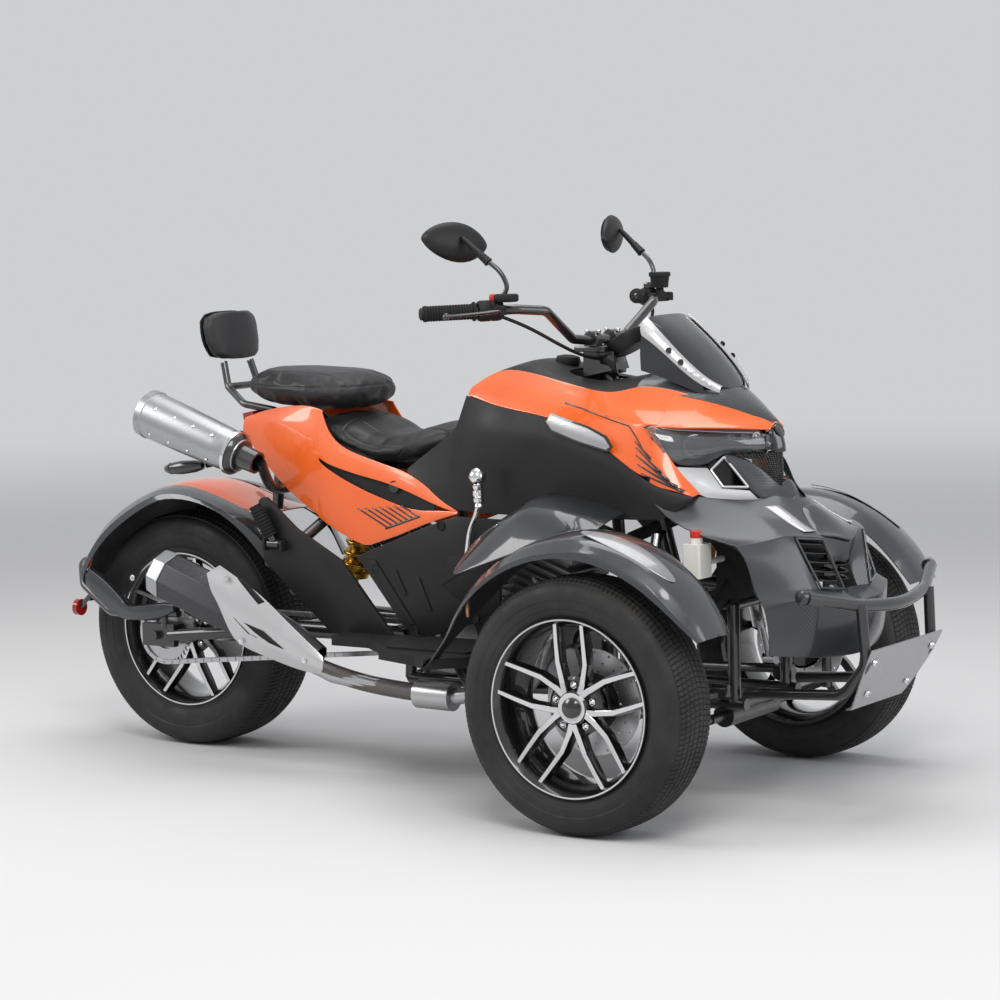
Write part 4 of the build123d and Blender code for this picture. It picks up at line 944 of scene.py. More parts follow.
def front_fenders():
    """Long metallic fenders with a side crease, a pale marker lamp and a stem that narrows behind."""
    stations = [(27, (430, 352), (462, 364), (505, 367), (544, 362), (560, 356), (564, 350)),
                (36, (412, 352), (448, 368), (504, 372), (552, 362), (574, 346), (577, 336)),
                (48, (404, 354), (444, 374), (502, 377), (556, 364), (579, 340), (581, 328)),
                (64, (402, 356), (442, 378), (500, 380), (556, 366), (580, 340), (582, 326)),
                (82, (402, 356), (442, 379), (498, 381), (556, 366), (580, 340), (582, 326)),
                (100, (404, 354), (444, 376), (498, 378), (554, 364), (580, 340), (582, 328)),
                (118, (410, 352), (448, 370), (498, 372), (552, 361), (578, 341), (580, 330)),
                (134, (420, 350), (454, 364), (500, 367), (548, 358), (572, 343), (574, 334)),
                (146, (436, 354), (464, 363), (502, 367), (536, 361), (556, 350), (560, 343)),
                (155, (456, 362), (474, 368), (496, 371), (516, 369), (530, 363), (533, 358)),
                (161, (472, 374), (480, 378), (490, 380), (500, 379), (508, 376), (510, 373)),
                (170, (475, 408), (480, 410), (488, 411), (495, 410), (500, 408), (501, 406)),
                (175, (474, 430), (480, 432), (487, 432), (494, 431), (498, 429), (499, 427))]
    for side, name in SIDES:
        form = sheet(fender_arch(0, FRONT_R, stations, side), ((1, 0.35), (3, 0.7)))
        cover(f"fender_shell_{name}", form, "grey_paint", "grey", "matte",
              replaces=(f"front_fender_{name}",), wall=3.5, bevel=0.8, levels=2, inside=1)
        strip = [(49, (522, 372), (529, 370), (536, 368)), (56, (508, 375), (532, 371), (552, 363)),
                 (66, (500, 378), (532, 373), (558, 362)), (76, (500, 379), (530, 374), (554, 363)),
                 (84, (506, 378), (526, 374), (542, 369)), (89, (514, 377), (520, 375), (526, 374))]
        lamp = sheet(fender_arch(0, FRONT_R, strip, side))
        cover(f"fender_lamp_{name}", lamp, "lamp_clear", "strip", wall=3.0, levels=2)


def arch_liners():
    """Dark arches between the flanks and the front fenders, with soft creases."""
    rows = [((212, 608), (262, 610), (330, 596), (392, 556), (440, 520)),
            ((211, 652), (270, 652), (340, 634), (396, 584), (430, 546)),
            ((212, 700), (290, 694), (352, 664), (396, 606), (416, 570)),
            ((214, 694), (290, 692), (350, 672), (392, 628), (408, 600)),
            ((218, 676), (276, 676), (338, 666), (384, 642), (402, 622)),
            ((223, 660), (262, 660), (322, 648), (372, 632), (392, 620))]
    form = sheet([[(x, -y, z) for y, z in row] for x, row in zip((-398, -340, -263, -190, -110, -50), rows)],
                 ((1, 0.3), (2, 0.3)), ((2, 0.5),))
    cover("arch_liners", sheet_pair(form), "grey_paint", "lip", replaces=("fender_arches",), wall=3.0, levels=2)


# ---------------------------------------------------------------- nose, lamps and screen
def between(a, b, share):
    """A point part of the way from one point to another."""
    return tuple(first + (second - first) * share for first, second in zip(a, b))


def cowl():
    """The twill front cowl with its louvre windows, the dark beak over it and the silver hood stripe."""
    rows = [[(232, 0, 702), (229, 30, 700), (222, 60, 694), (208, 92, 684), (160, 140, 690), (90, 205, 700),
             (-13, 235, 729)],
            [(262, 0, 684), (258, 32, 681), (250, 64, 676), (238, 96, 668), (206, 150, 662), (140, 215, 662),
             (50, 250, 653)],
            [(329, 0, 637), (322, 36, 634), (312, 76, 631), (296, 116, 628), (284, 156, 626), (226, 214, 622),
             (160, 260, 620)],
            [(377, 0, 588), (368, 40, 600), (358, 98, 610), (318, 152, 617), (306, 162, 619), (270, 214, 608),
             (236, 260, 604)],
            [(372, 0, 550), (352, 34, 548), (374, 80, 552), (343, 142, 560), (335, 162, 562), (300, 214, 566),
             (262, 258, 576)],
            [(376, 0, 494), (376, 34, 490), (392, 62, 492), (370, 130, 502), (362, 154, 504), (326, 210, 506),
             (276, 252, 500)],
            [(418, 0, 468), (424, 34, 470), (422, 70, 472), (396, 140, 484), (384, 168, 488), (334, 212, 482),
             (300, 252, 479)],
            [(416, 0, 392), (418, 34, 390), (414, 74, 389), (392, 140, 388), (376, 174, 387), (346, 212, 392),
             (311, 251, 410)],
            [(403, 0, 348), (398, 34, 347), (388, 74, 348), (374, 140, 353), (362, 172, 357), (342, 210, 362),
             (308, 250, 368)]]
    cover("cowl_shell", halves(rows, ((2, 0.4), (3, 0.4), (4, 0.8)), ((3, 0.85), (5, 0.5), (6, 0.6)),
                               windows=((3, 2), (4, 2), (4, 0))), "twill_grey", "twill",
          replaces=("front_cowl",), wall=4.0, bevel=0.8, levels=2)
    blades = bmesh.new()
    top_in, top_out, low_out, low_in = (358, -98, 606), (320, -150, 612), (370, -130, 504), (391, -64, 496)
    for number in range(5):
        share = (number + 0.7) / 5.4
        inner, outer = between(top_in, low_in, share), between(top_out, low_out, share)
        back = (-24, 0, 10)
        outline = [outer, inner, tuple(map(sum, zip(inner, back))), tuple(map(sum, zip(outer, back)))]
        blades = join(blades, slab(outline, 4.0, bevel=1.0))
    for z in (574, 558, 542, 526, 510):
        blades = join(blades, slab([(372, -3, z), (352, -30, z), (330, -30, z + 7), (345, -3, z + 7)], 3.0, bevel=0.8))
    blades = join(blades, slab([(334, -40, 590), (346, 0, 590), (346, 0, 496), (334, -40, 496)], 2.0))
    piece("cowl_louvres", both_sides(blades), "chassis", "black_plastic", "piano", smooth=30)
    beak = [[(286, 0, 671), (284, 14, 670), (280, 28, 668), (276, 40, 665)],
            [(332, 0, 640), (328, 24, 639), (320, 48, 637), (310, 66, 634)],
            [(368, 0, 606), (360, 30, 610), (350, 58, 614), (338, 82, 616)],
            [(383, 0, 590), (374, 32, 601), (364, 62, 608), (352, 92, 612)]]
    lid = sheet([[(x, -y, z + 3) for x, y, z in row] for row in beak], (), ((3, 0.8),))
    cover("beak", sheet_pair(lid), "grey_paint", "lip", wall=4.0, levels=2)
    band = sheet(draped(("cowl_shell",), [(214, -103, 800), (234, -76, 800), (338, -86, 800), (326, -112, 800)],
                        across=3, down=10, lift=1.6, way=(0, 0, -1)))
    cover("hood_stripe", sheet_pair(band), "silver_trim", "silver", smooth=60, wall=2.0)
    rim = bars_round([(x + 3, y, z) for x, y, z in (top_out, top_in, low_in, low_out)])
    piece("louvre_frames", both_sides(rim), "chassis", "twill_grey", "lip", smooth=60)


def nose():
    """The twill V on the nose with its ridge and foot, the grille, intake frames and a plain round cap."""
    centre = [[(204, 0, 842), (200, 14, 841), (192, 26, 838)], [(219, 0, 812), (214, 14, 810), (204, 27, 806)],
              [(221, 0, 784), (216, 15, 783), (206, 28, 782)]]
    cover("nose_ridge", halves(centre), "twill_grey", "piano", replaces=("nose_panel",), wall=3.0, levels=2)
    vee = [[(124, 114, 789), (130, 116, 785), (134, 117, 780), (134, 120, 776)],
           [(166, 84, 776), (164, 92, 762), (160, 100, 750), (154, 104, 746)],
           [(198, 58, 750), (192, 70, 734), (184, 88, 716), (176, 94, 710)],
           [(222, 38, 716), (218, 52, 704), (208, 78, 690), (198, 86, 688)],
           [(246, 22, 700), (246, 34, 692), (240, 52, 680), (232, 58, 674)],
           [(258, 14, 696), (260, 20, 688), (256, 34, 676), (250, 40, 670)]]
    cover("nose_vee", halves(vee, ((2, 0.5),), ((4, 0.6),)), "twill_grey", "twill", wall=4.0, levels=2)
    chin = [[(228, 0, 728), (226, 16, 724), (222, 30, 716)], [(244, 0, 700), (240, 18, 698), (234, 36, 692)],
            [(256, 0, 688), (252, 24, 686), (244, 50, 680)]]
    cover("nose_foot", halves(chin), "twill_grey", "twill", wall=4.0, levels=2)
    mesh = bmesh.new()
    bmesh.ops.create_grid(mesh, x_segments=34, y_segments=16, size=0.5)
    for vert in mesh.verts:
        across, down = vert.co.x * 2, vert.co.y + 0.5
        half = 106 - 66 * down
        depth = 209 - 74 * abs(across) ** 1.4 * (half / 106)
        vert.co = at(depth + 4 * down, across * half, 786 - 70 * down)
    made = piece("nose_grille", mesh, "chassis", "black_plastic", "piano", smooth=30)
    lattice = made.modifiers.new("lattice", "WIREFRAME")
    lattice.thickness, lattice.use_even_offset = 0.0016, True
    disc = [(0, AXIS), (0, 17), (3, 17.5), (5, 15.5), (5, 13), (4, 12.5), (5, 6), (5.5, AXIS)]
    piece("nose_cap", turned(disc, (203, 0, 832), (0.86, 0, 0.5), steps=40), "chassis", "black_plastic", "piano",
          smooth=40)
    trims = bars_round([(128, -113, 780), (106, -134, 752), (136, -134, 716), (182, -103, 714)])
    trims = join(trims, slab([(56, -204, 763), (99, -138, 756), (133, -134, 712), (182, -100, 706), (200, -84, 682),
                              (120, -152, 686), (100, -186, 704)], -3.0, bevel=1.0))
    piece("intake_trims", both_sides(trims), "chassis", "silver_trim", "silver", smooth=35)
    recess = sheet([[(100, -130, 782), (160, -96, 776)], [(86, -150, 740), (140, -100, 716)],
                    [(104, -160, 700), (170, -104, 700)]])
    cover("intake_recess", sheet_pair(recess), "black_plastic", "matte", wall=3.0, levels=1)


LAMP_ROWS = (((-12, 215, 851), (-8, 217, 846), (0, 219, 838), (10, 219, 828)),
             ((9, 200, 856), (18, 216, 838), (26, 220, 816), (37, 216, 791)),
             ((50, 165, 853), (64, 188, 832), (66, 200, 800), (50, 193, 764)),
             ((78, 131, 850), (96, 152, 828), (102, 154, 792), (96, 133, 758)),
             ((120, 92, 845), (136, 110, 822), (134, 114, 802), (121, 113, 786)),
             ((150, 56, 841), (166, 68, 820), (162, 85, 798), (143, 91, 789)),
             ((173, 30, 838), (189, 30, 815), (191, 30, 798), (188, 32, 787)))


def headlamps():
    """Smoked lenses with a silver edge, over a black bowl with a projector, three small lamps and a side light."""
    cover("lamp_lenses", halves(LAMP_ROWS, ((0, 0.5), (3, 0.5))), "lamp_clear", "lens",
          replaces=("headlamps",), wall=2.5, levels=2)
    bowl = [[(x - 34, -(y - 26), z) for x, y, z in row] for row in LAMP_ROWS]
    rim_front = [[(x - 3, -y + 3, z) for x, y, z in row] for row in LAMP_ROWS]
    back = sheet(bowl)
    lip_top = sheet([[rim[0], deep[0]] for rim, deep in zip(rim_front, bowl)])
    lip_low = sheet([[rim[-1], deep[-1]] for rim, deep in zip(rim_front, bowl)])
    cover("lamp_bowls", sheet_pair(join(back, lip_top, lip_low)), "black_plastic", "piano", smooth=40, wall=2.0)
    lights = bmesh.new()
    for spot in ((126, -84, 824), (148, -62, 822), (168, -44, 820)):
        ring = [(0, AXIS), (0, 11), (6, 11), (6, 8), (2, 7), (2, AXIS)]
        lights = join(lights, turned(ring, spot, (1, -0.5, 0), steps=24, finish=1),
                      turned([(2, AXIS), (2, 6), (5, 5), (7, AXIS)], spot, (1, -0.5, 0), steps=20))
    ring = [(0, AXIS), (0, 26), (16, 27), (16, 23), (6, 20), (6, AXIS)]
    lights = join(lights, turned(ring, (68, -152, 806), (1, -0.7, 0), steps=36, finish=1))
    lights = join(lights, turned([(6, AXIS), (6, 18), (14, 14), (19, 6), (20, AXIS)], (68, -152, 806), (1, -0.7, 0),
                                 steps=32, finish=2))
    bar_lamp = sheet([[(18, -205, 842), (28, -207, 818), (36, -203, 796)],
                      [(34, -192, 842), (44, -196, 816), (46, -190, 784)],
                      [(48, -172, 842), (58, -178, 812), (56, -176, 778)]])
    lights = join(lights, dress(bar_lamp, 3))
    piece("lamp_lights", both_sides(lights), "chassis", "lamp_clear", "led", "chrome", "screen", "clear", smooth=40)
    band = []
    for row in LAMP_ROWS[1:]:
        top, low = row[0], between(row[0], row[1], 0.55)
        band.append([(x + 2.5, -y - 2.5, z) for x, y, z in ((top[0], top[1], top[2] + 1), low)])
    cover("lamp_edges", sheet_pair(sheet(band)), "silver_trim", "silver", wall=2.0, levels=1)


def screen():
    """The smoked screen with its sides, the silver cheeks with a row of lights, and the twill base."""
    rows = []
    for half, foot, waist, neck, top in (
            (0, (97, 924), (45, 990), (-14, 1048), (-78, 1088)), (40, (94, 926), (44, 990), (-15, 1047), (-78, 1088)),
            (74, (76, 938), (36, 987), (-20, 1042), (-79, 1086)), (96, (52, 956), (26, 982), (-28, 1034), (-80, 1080)),
            (110, (30, 974), (14, 980), (-40, 1024), (-80, 1070))):
        rows.append([(x, -half, z) for x, z in (foot, waist, neck, top)])
    cover("screen_sheet", sheet_pair(sheet(rows, (), ((3, 0.3),))), "screen_tint", "screen",
          replaces=("windscreen",), wall=3.5, bevel=0.5, levels=3)
    cheek = [[(-76, 90, 1086), (-78, 110, 1077), (-80, 119, 1062), (-74, 121, 1046)],
             [(-45, 96, 1060), (-48, 112, 1056), (-50, 120, 1044), (-44, 122, 1028)],
             [(-5, 99, 1022), (-7, 112, 1020), (-8, 120, 1010), (-4, 121, 996)],
             [(39, 93, 980), (38, 106, 982), (37, 114, 972), (36, 115, 960)],
             [(73, 80, 948), (72, 91, 950), (70, 97, 943), (68, 98, 933)],
             [(96, 57, 932), (95, 63, 930), (95, 67, 924), (93, 69, 917)]]
    cover("screen_cheeks", halves(cheek, ((1, 0.4), (2, 0.4))), "silver_trim", "silver", replaces=("screen_trims",),
          wall=3.5, bevel=0.6, levels=2)
    side = [[(-76, 118, 1050), (-78, 124, 1010), (-74, 126, 968)], [(-44, 119, 1032), (-40, 124, 996), (-34, 126, 958)],
            [(-2, 118, 1002), (2, 121, 976), (6, 122, 944)], [(36, 112, 966), (40, 113, 948), (46, 112, 926)],
            [(66, 96, 938), (68, 96, 926), (70, 94, 912)]]
    cover("screen_sides", halves(side), "screen_tint", "screen", wall=3.0, bevel=0.5, levels=2)
    slot = bmesh.new()
    lights = bmesh.new()
    for number in range(5):
        x, y, z = between((36, -116, 977), (80, -88, 938), number / 4)
        lights = join(lights, turned([(0, AXIS), (0, 4.2), (2, 3.6), (3, AXIS)], (x, y, z), (0.35, -1, 0.15), steps=16))
    for x, y, z in ((-4, -121.5, 1014), (24, -118, 988)):
        slot = join(slot, turned([(-1, AXIS), (-1, 7), (1.5, 6.5), (1.5, AXIS)], (x, y, z), (0.2, -1, 0.15), steps=24))
    piece("screen_lights", both_sides(join(lights, dress(slot, 1))), "chassis", "lamp_clear", "led", "piano", smooth=40)
    base = [[(-82, 0, 968), (-80, 60, 962), (-78, 118, 950), (-76, 142, 932)],
            [(-20, 0, 974), (-18, 60, 968), (-10, 112, 944), (0, 140, 920)],
            [(60, 0, 950), (62, 52, 944), (66, 92, 928), (70, 112, 906)],
            [(110, 0, 916), (112, 36, 912), (114, 64, 902), (116, 82, 890)],
            [(160, 0, 884), (160, 18, 882), (160, 34, 876), (158, 46, 870)],
            [(200, 0, 854), (199, 8, 853), (198, 14, 851), (196, 20, 848)]]
    cover("screen_foot", halves(base, ((3, 0.5),)), "twill_grey", "twill",
          replaces=("screen_base",), wall=4.0, bevel=0.6, levels=2)


# ---------------------------------------------------------------- rear fender, silencers
def rear_fenders():
    """The orange crown and the slate lips of the rear fender, with indicators, arm covers and screws."""
    crown = [(161, (86, 334), (56, 340), (0, 343), (-56, 340), (-86, 334)),
             (150, (90, 335), (60, 342), (0, 345), (-60, 342), (-90, 335)),
             (138, (94, 336), (64, 343), (0, 347), (-64, 343), (-94, 336)),
             (119, (98, 345), (66, 352), (0, 356), (-66, 352), (-98, 345)),
             (101, (100, 359), (68, 367), (0, 373), (-68, 367), (-100, 359)),
             (83, (100, 373), (68, 382), (0, 388), (-68, 382), (-100, 373)),
             (62, (98, 366), (66, 374), (0, 379), (-66, 374), (-98, 366)),
             (54, (96, 386), (64, 394), (0, 400), (-64, 394), (-96, 386)),
             (46, (92, 419), (62, 427), (0, 432), (-62, 427), (-92, 419))]
    form = skin(fender_arch(REAR_X, REAR_R, crown, -1))
    crease_rows(form, 5, ((1, 0.4), (3, 0.4)))
    form = face_out(form, (0, 0, 1))
    cover("fender_crown", form, "orange_paint", "orange", "matte", replaces=("rear_fender",), wall=3.5, bevel=0.8,
          levels=2, inside=1)
    lip = [(152, (162, 288), (156, 304), (124, 326), (94, 339)), (138, (163, 290), (158, 308), (126, 332), (95, 342)),
           (123, (163, 295), (158, 314), (128, 338), (97, 347)), (101, (164, 316), (158, 334), (128, 354), (98, 362)),
           (87, (164, 343), (158, 358), (128, 368), (98, 373)), (70, (164, 358), (158, 366), (128, 370), (98, 371)),
           (55, (164, 370), (158, 378), (128, 382), (98, 382)), (40, (163, 377), (156, 396), (126, 414), (96, 425)),
           (27, (160, 387), (152, 394), (132, 400), (112, 405))]
    cover("fender_lips", sheet_pair(sheet(fender_arch(REAR_X, REAR_R, lip, -1), ((1, 0.6), (2, 0.3)))), "grey_paint",
          "lip", "matte", replaces=("rear_fender_lip",), wall=4.0, bevel=0.8, levels=2, inside=1)
    root, way = (-1286, -186, 722), (-0.98, -0.16, -0.1)
    lamps = join(turned([(0, AXIS), (0, 10), (20, 15), (58, 17), (88, 14), (104, 8), (108, AXIS)], root, way, steps=28),
                 bar((-1210, -84, 742), (-1280, -182, 723), 8))
    end = turned([(90, 14.4), (105, 8.6), (110, AXIS), (90, AXIS)], root, way, steps=24, finish=1)
    piece("rear_indicators", both_sides(join(lamps, end)), "chassis", "black_plastic", "piano", "smoke", smooth=50)
    rings = []
    for x, y, low, high in ((-1384, -186, 356, 378), (-1421, -187, 336, 381), (-1481, -187, 328, 370),
                            (-1541, -176, 324, 364),
                            (-1590, -164, 326, 398), (-1640, -154, 352, 428), (-1690, -146, 384, 448),
                            (-1704, -142, 398, 440)):
        rings.append([(x, y - 13, high - 4), (x, y - 15, (low + high) / 2), (x, y - 13, low + 4), (x, y, low - 1),
                      (x, y + 13, low + 4), (x, y + 13, high - 4), (x, y, high)])
    cover("arm_covers", both_sides(skin(rings, closed=True, caps=True)), "grey_paint", "lip", smooth=60, bevel=1.0,
          levels=1)
    plate = hex_bolts([((-1540, -166, 430), (0, -1, 0.1)), ((-1330, -166, 470), (0, -1, 0.1))], 6, 4)
    piece("lip_screws", both_sides(plate), "chassis", "chrome_parts", "chrome", smooth=35)


def silencers():
    """Two cans: an upper brushed one with rivets and its link pipe, and a lower dark one."""
    head, tip = Vector((-1100, -272, 760)), Vector((-1376, -278, 856))
    along = tip - head
    length = along.length
    shell = [(-8, 24), (-4, 40), (12, 49), (60, 52), (180, 56), (length - 22, 57.5), (length - 20, 59.5),
             (length - 2, 58.5), (length, 56), (length, 43), (length - 6, 40.4), (length - 118, 40.4),
             (length - 118, 26), (0, 24)]
    can = turned(shell, head, along, steps=72)
    neck = turned([(-52, 21), (-52, 27), (-8, 29), (-6, 36), (2, 46), (14, 51), (14, 48), (-4, 22)], head, along,
                  steps=48, finish=1)
    ring = turned([(12, 50), (12, 54), (20, 55), (20, 51)], head, along, steps=60, finish=2)
    side = along.normalized()
    up = side.cross(Vector((0, 1, 0))).normalized()
    out = up.cross(side).normalized()
    rivets = bmesh.new()
    for share in (0.22, 0.42, 0.62, 0.82):
        for turn in (-0.62, 0.62, pi - 0.62, pi + 0.62):
            way = out * cos(turn) + up * sin(turn)
            spot = head + along * share + way * (52.5 + 4.5 * share)
            rivets = join(rivets, turned([(0, AXIS), (0, 4.5), (1.5, 4), (2.6, 2), (3, AXIS)], spot, way, steps=14,
                                         finish=2))
    piece("upper_silencer", join(can, neck, ring, rivets), "chassis", "brushed_can", "brushed", "frame", "chrome",
          replaces=("upper_muffler",), smooth=35)
    back, front = Vector((-1372, -262, 468)), Vector((-900, -240, 285))
    body = turned([(35, 40), (35, 61), (195, 62), (410, 46), (504, 25), (504, 22), (60, 40)], back, front - back,
                  steps=8)
    end = turned([(0, 34), (0, 54), (6, 59), (38, 63.5), (41, 63.5), (41, 58), (30, 40), (8, 34)], back, front - back,
                 steps=8, finish=1)
    throat = turned([(6, 35), (6, 39), (70, 39), (70, AXIS), (66, AXIS), (66, 35)], back, front - back, steps=40,
                    finish=2)
    cover("lower_silencer", join(body, end, throat), "dark_can", "dark_steel", "brushed", "matte",
          replaces=("lower_muffler",), smooth=25, bevel=3.0, segments=3)
    tube("upper_link", [(-1052, -256, 742), (-1064, -222, 700), (-1080, -176, 670), (-1054, -120, 672),
                        (-1006, -84, 697)], 13, "chassis",
         "frame")


def shield():
    """The silver shield over the lower can, with its two dark slots, screws and studs."""
    rows = [[(-1182, -314, 478), (-1172, -322, 462), (-1162, -325, 436), (-1150, -320, 414)],
            [(-1138, -318, 500), (-1140, -327, 450), (-1132, -328, 410), (-1130, -318, 372)],
            [(-1084, -316, 470), (-1090, -327, 430), (-1096, -328, 386), (-1110, -316, 330)],
            [(-1026, -312, 439), (-1040, -323, 396), (-1050, -325, 346), (-1084, -312, 306)],
            [(-950, -304, 372), (-958, -315, 344), (-966, -316, 306), (-1000, -303, 280)],
            [(-900, -297, 330), (-904, -305, 308), (-910, -305, 280), (-930, -295, 258)],
            [(-860, -289, 294), (-856, -294, 280), (-858, -294, 264), (-872, -288, 250)]]
    form = sheet(rows, ((1, 0.75), (2, 0.6)))
    cover("silencer_shield", form, "silver_trim", "silver", replaces=("muffler_shield",), wall=4.0, bevel=0.8, levels=2)
    slot = on_side(("silencer_shield",), [(-1094, 378), (-1056, 341), (-956, 309), (-1010, 350)], across=6, down=4,
                   lift=0.6)
    slot = join(slot, on_side(("silencer_shield",), [(-1086, 470), (-1074, 474), (-1010, 418), (-1026, 412)], down=6,
                              lift=0.4))
    cover("shield_slots", slot, "black_plastic", "matte", smooth=35, wall=1.2)
    screws = hex_bolts([((-1112, -328, 470), (0, -1, 0)), ((-1078, -320, 320), (0, -1, 0)),
                        ((-904, -304, 284), (0, -1, 0))], 5.5, 4)
    studs = join(bar((-1100, -290, 400), (-1100, -322, 400), 8), bar((-960, -265, 316), (-960, -308, 316), 7))
    piece("shield_screws", join(screws, studs), "chassis", "chrome_parts", "chrome", smooth=35)


# ---------------------------------------------------------------- soft parts
def pad_form(stations, sides=20, power=2.8):
    """A closed pad: rounded rings at x, each with half-width, underside, top and how far the top is crowned."""
    rings = []
    for x, half, low, high, crown in stations:
        ring = []
        for number in range(sides):
            angle = 2 * pi * number / sides
            c, s = cos(angle), sin(angle)
            across = half * abs(c) ** (2 / power) * (1 if c > 0 else -1)
            up = abs(s) ** (2 / power) * (1 if s > 0 else -1)
            middle, tall = (low + high) / 2, (high - low) / 2
            lift = crown * (1 - (across / half) ** 2) if s > 0 else 0
            ring.append((x, -across, middle + up * tall + lift))
        rings.append(ring)
    return skin(rings, closed=True, caps=True)


def swell(made, voxel=5.0, pressure=4.0, cap=9.0, frames=20):
    """Remeshes a pad and blows it up softly with cloth, with a limit on how far a point moves."""
    grid = made.modifiers.new("grid", "REMESH")
    grid.mode, grid.voxel_size = "VOXEL", voxel / 1000
    apply_modifiers(made)
    before = [vert.co.copy() for vert in made.data.vertices]
    cloth = made.modifiers.new("cloth", "CLOTH")
    cloth.settings.quality = 4
    cloth.settings.use_pressure = True
    cloth.settings.uniform_pressure_force = pressure
    cloth.settings.effector_weights.gravity = 0.0
    cloth.settings.tension_stiffness = cloth.settings.compression_stiffness = 22
    cloth.settings.bending_stiffness = 1.2
    cloth.point_cache.frame_start, cloth.point_cache.frame_end = 1, frames
    scene = bpy.context.scene
    for number in range(1, frames + 1):
        scene.frame_set(number)
    apply_modifiers(made)
    scene.frame_set(1)
    for vert, start in zip(made.data.vertices, before):
        moved = vert.co - start
        if moved.length > cap / 1000:
            vert.co = start + moved.normalized() * (cap / 1000)
    form = bmesh.new()
    form.from_mesh(made.data)
    for _ in range(3):
        bmesh.ops.smooth_vert(form, verts=form.verts, factor=0.5, use_axis_x=True, use_axis_y=True, use_axis_z=True)
    form.to_mesh(made.data)
    form.free()
    return made


SEAM_DEPTH = 2.2             # mm that a seam is drawn in
SEAM_REACH = 5.0             # mm to each side of its line


def sew(made, seams):
    """Pulls the surface in along seam lines: each a test that says how far a point lies from its line."""
    made.data.update()
    normals = [vert.normal.copy() for vert in made.data.vertices]
    for vert, normal in zip(made.data.vertices, normals):
        x, y, z = (vert.co.x - AXLE_X) * 1000, vert.co.y * 1000, vert.co.z * 1000
        pull = 0.0
        for seam in seams:
            away = abs(seam(x, y, z, normal))
            if away < SEAM_REACH:
                pull = max(pull, (1 - away / SEAM_REACH) ** 2)
        vert.co -= normal * (SEAM_DEPTH * pull / 1000)
    return made


def finish_pad(made, seams):
    """One subdivision baked in, the seams sewn, and the surface shaded smooth."""
    soften(made, levels=1)
    apply_modifiers(made)
    sew(made, seams)
    made.data.materials.clear()
    made.data.materials.append(FINISH["leather"])
    made.data.shade_smooth()
    return made


def seats():
    """The rider's scooped seat, the passenger's saddle, and the back pad with its shell."""
    rider = [(-612, 34, 812, 842, 2), (-640, 74, 784, 834, 4), (-690, 128, 748, 812, 6), (-740, 146, 744, 794, 8),
             (-792, 152, 744, 784, 8), (-840, 154, 750, 792, 8), (-884, 152, 760, 816, 8), (-930, 146, 774, 836, 6),
             (-968, 134, 790, 848, 4), (-982, 118, 804, 846, 2)]
    made = piece("rider_saddle", pad_form(rider), "chassis", "leather_black", "leather", replaces=("rider_seat",),
                 smooth=180)
    finish_pad(swell(made), (lambda x, y, z, n: abs(y) - (70 if x > -900 else 62),
                             lambda x, y, z, n: x + 900 if n.z > 0.3 else 99,
                             lambda x, y, z, n: abs(y) - 132 if -930 < x < -700 else 99))
    back = [(-884, 48, 878, 908, 2), (-892, 86, 870, 922, 4), (-920, 124, 866, 932, 5), (-1000, 150, 866, 938, 5),
            (-1110, 140, 872, 942, 5), (-1180, 116, 880, 942, 4), (-1222, 84, 890, 938, 2), (-1231, 56, 898, 931, 1)]
    made = piece("passenger_saddle", pad_form(back), "chassis", "leather_black", "leather",
                 replaces=("pillion_seat",), smooth=180)
    finish_pad(swell(made), (lambda x, y, z, n: z - 914,
                             lambda x, y, z, n: (abs(y) - 92) if n.z > 0.4 and x < -880 else 99))
    middle_z, lean = 1030, 0.17
    low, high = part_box("backrest_pad")
    x_mid = ((low[0] + high[0]) / 2 - AXLE_X) * 1000
    rings = []
    for share, width in ((-1.0, 0.62), (-0.8, 0.86), (-0.3, 0.98), (0.4, 1.0), (0.78, 0.92), (1.0, 0.66)):
        z = middle_z + share * 58
        x = x_mid - (z - middle_z) * lean
        ring = []
        for number in range(20):
            c, s = cos(2 * pi * number / 20), sin(2 * pi * number / 20)
            ring.append((x + 16 * abs(s) ** 0.7 * (1 if s > 0 else -1) + 8 - 14 * (c * width) ** 2,
                         104 * width * abs(c) ** 0.7 * (1 if c > 0 else -1), z))
        rings.append(ring)
    made = piece("back_cushion", skin(rings, closed=True, caps=True), "chassis", "leather_black", "leather",
                 replaces=("backrest_pad",), smooth=180)
    finish_pad(swell(made, cap=7.0), (lambda x, y, z, n: x - (x_mid - (z - middle_z) * lean - 2),))
    shell = sheet([[(x_mid - 18 - (z - middle_z) * lean - depth, y * width, z)
                    for y, depth in ((-104, 0), (-66, 5), (0, 7), (66, 5), (104, 0))]
                   for z, width in ((974, 0.5), (980, 0.78), (1006, 0.97), (1040, 1.0), (1068, 0.94), (1084, 0.74),
                                    (1089, 0.45))])
    cover("back_shell", face_out(shell, (-1, 0, 0)), "black_plastic", "matte", wall=5.0, bevel=1.5, levels=1)


def cables():
    """One cable a side, from the switch pod down to the steering head."""
    route = ((-309, -321, 1095), (-290, -296, 1083), (-268, -250, 1060), (-250, -192, 1030), (-240, -132, 1006),
             (-234, -80, 992), (-231, -31, 986))
    for side, name in SIDES:
        data = bpy.data.curves.new(f"cable_{name}", "CURVE")
        data.dimensions, data.resolution_u, data.bevel_resolution = "3D", 12, 5
        data.bevel_depth, data.use_fill_caps = 0.004, True
        line = data.splines.new("NURBS")
        line.points.add(len(route) - 1)
        for spot, (x, y, z) in zip(line.points, route):
            spot.co = (*at(x, -side * y, z), 1.0)
        line.order_u, line.use_endpoint_u = 3, True
        made = in_scene(f"cable_{name}", data)
        data.materials.append(FINISH["matte"])
        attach(made, "steering")
        if side < 0:
            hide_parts("cables")


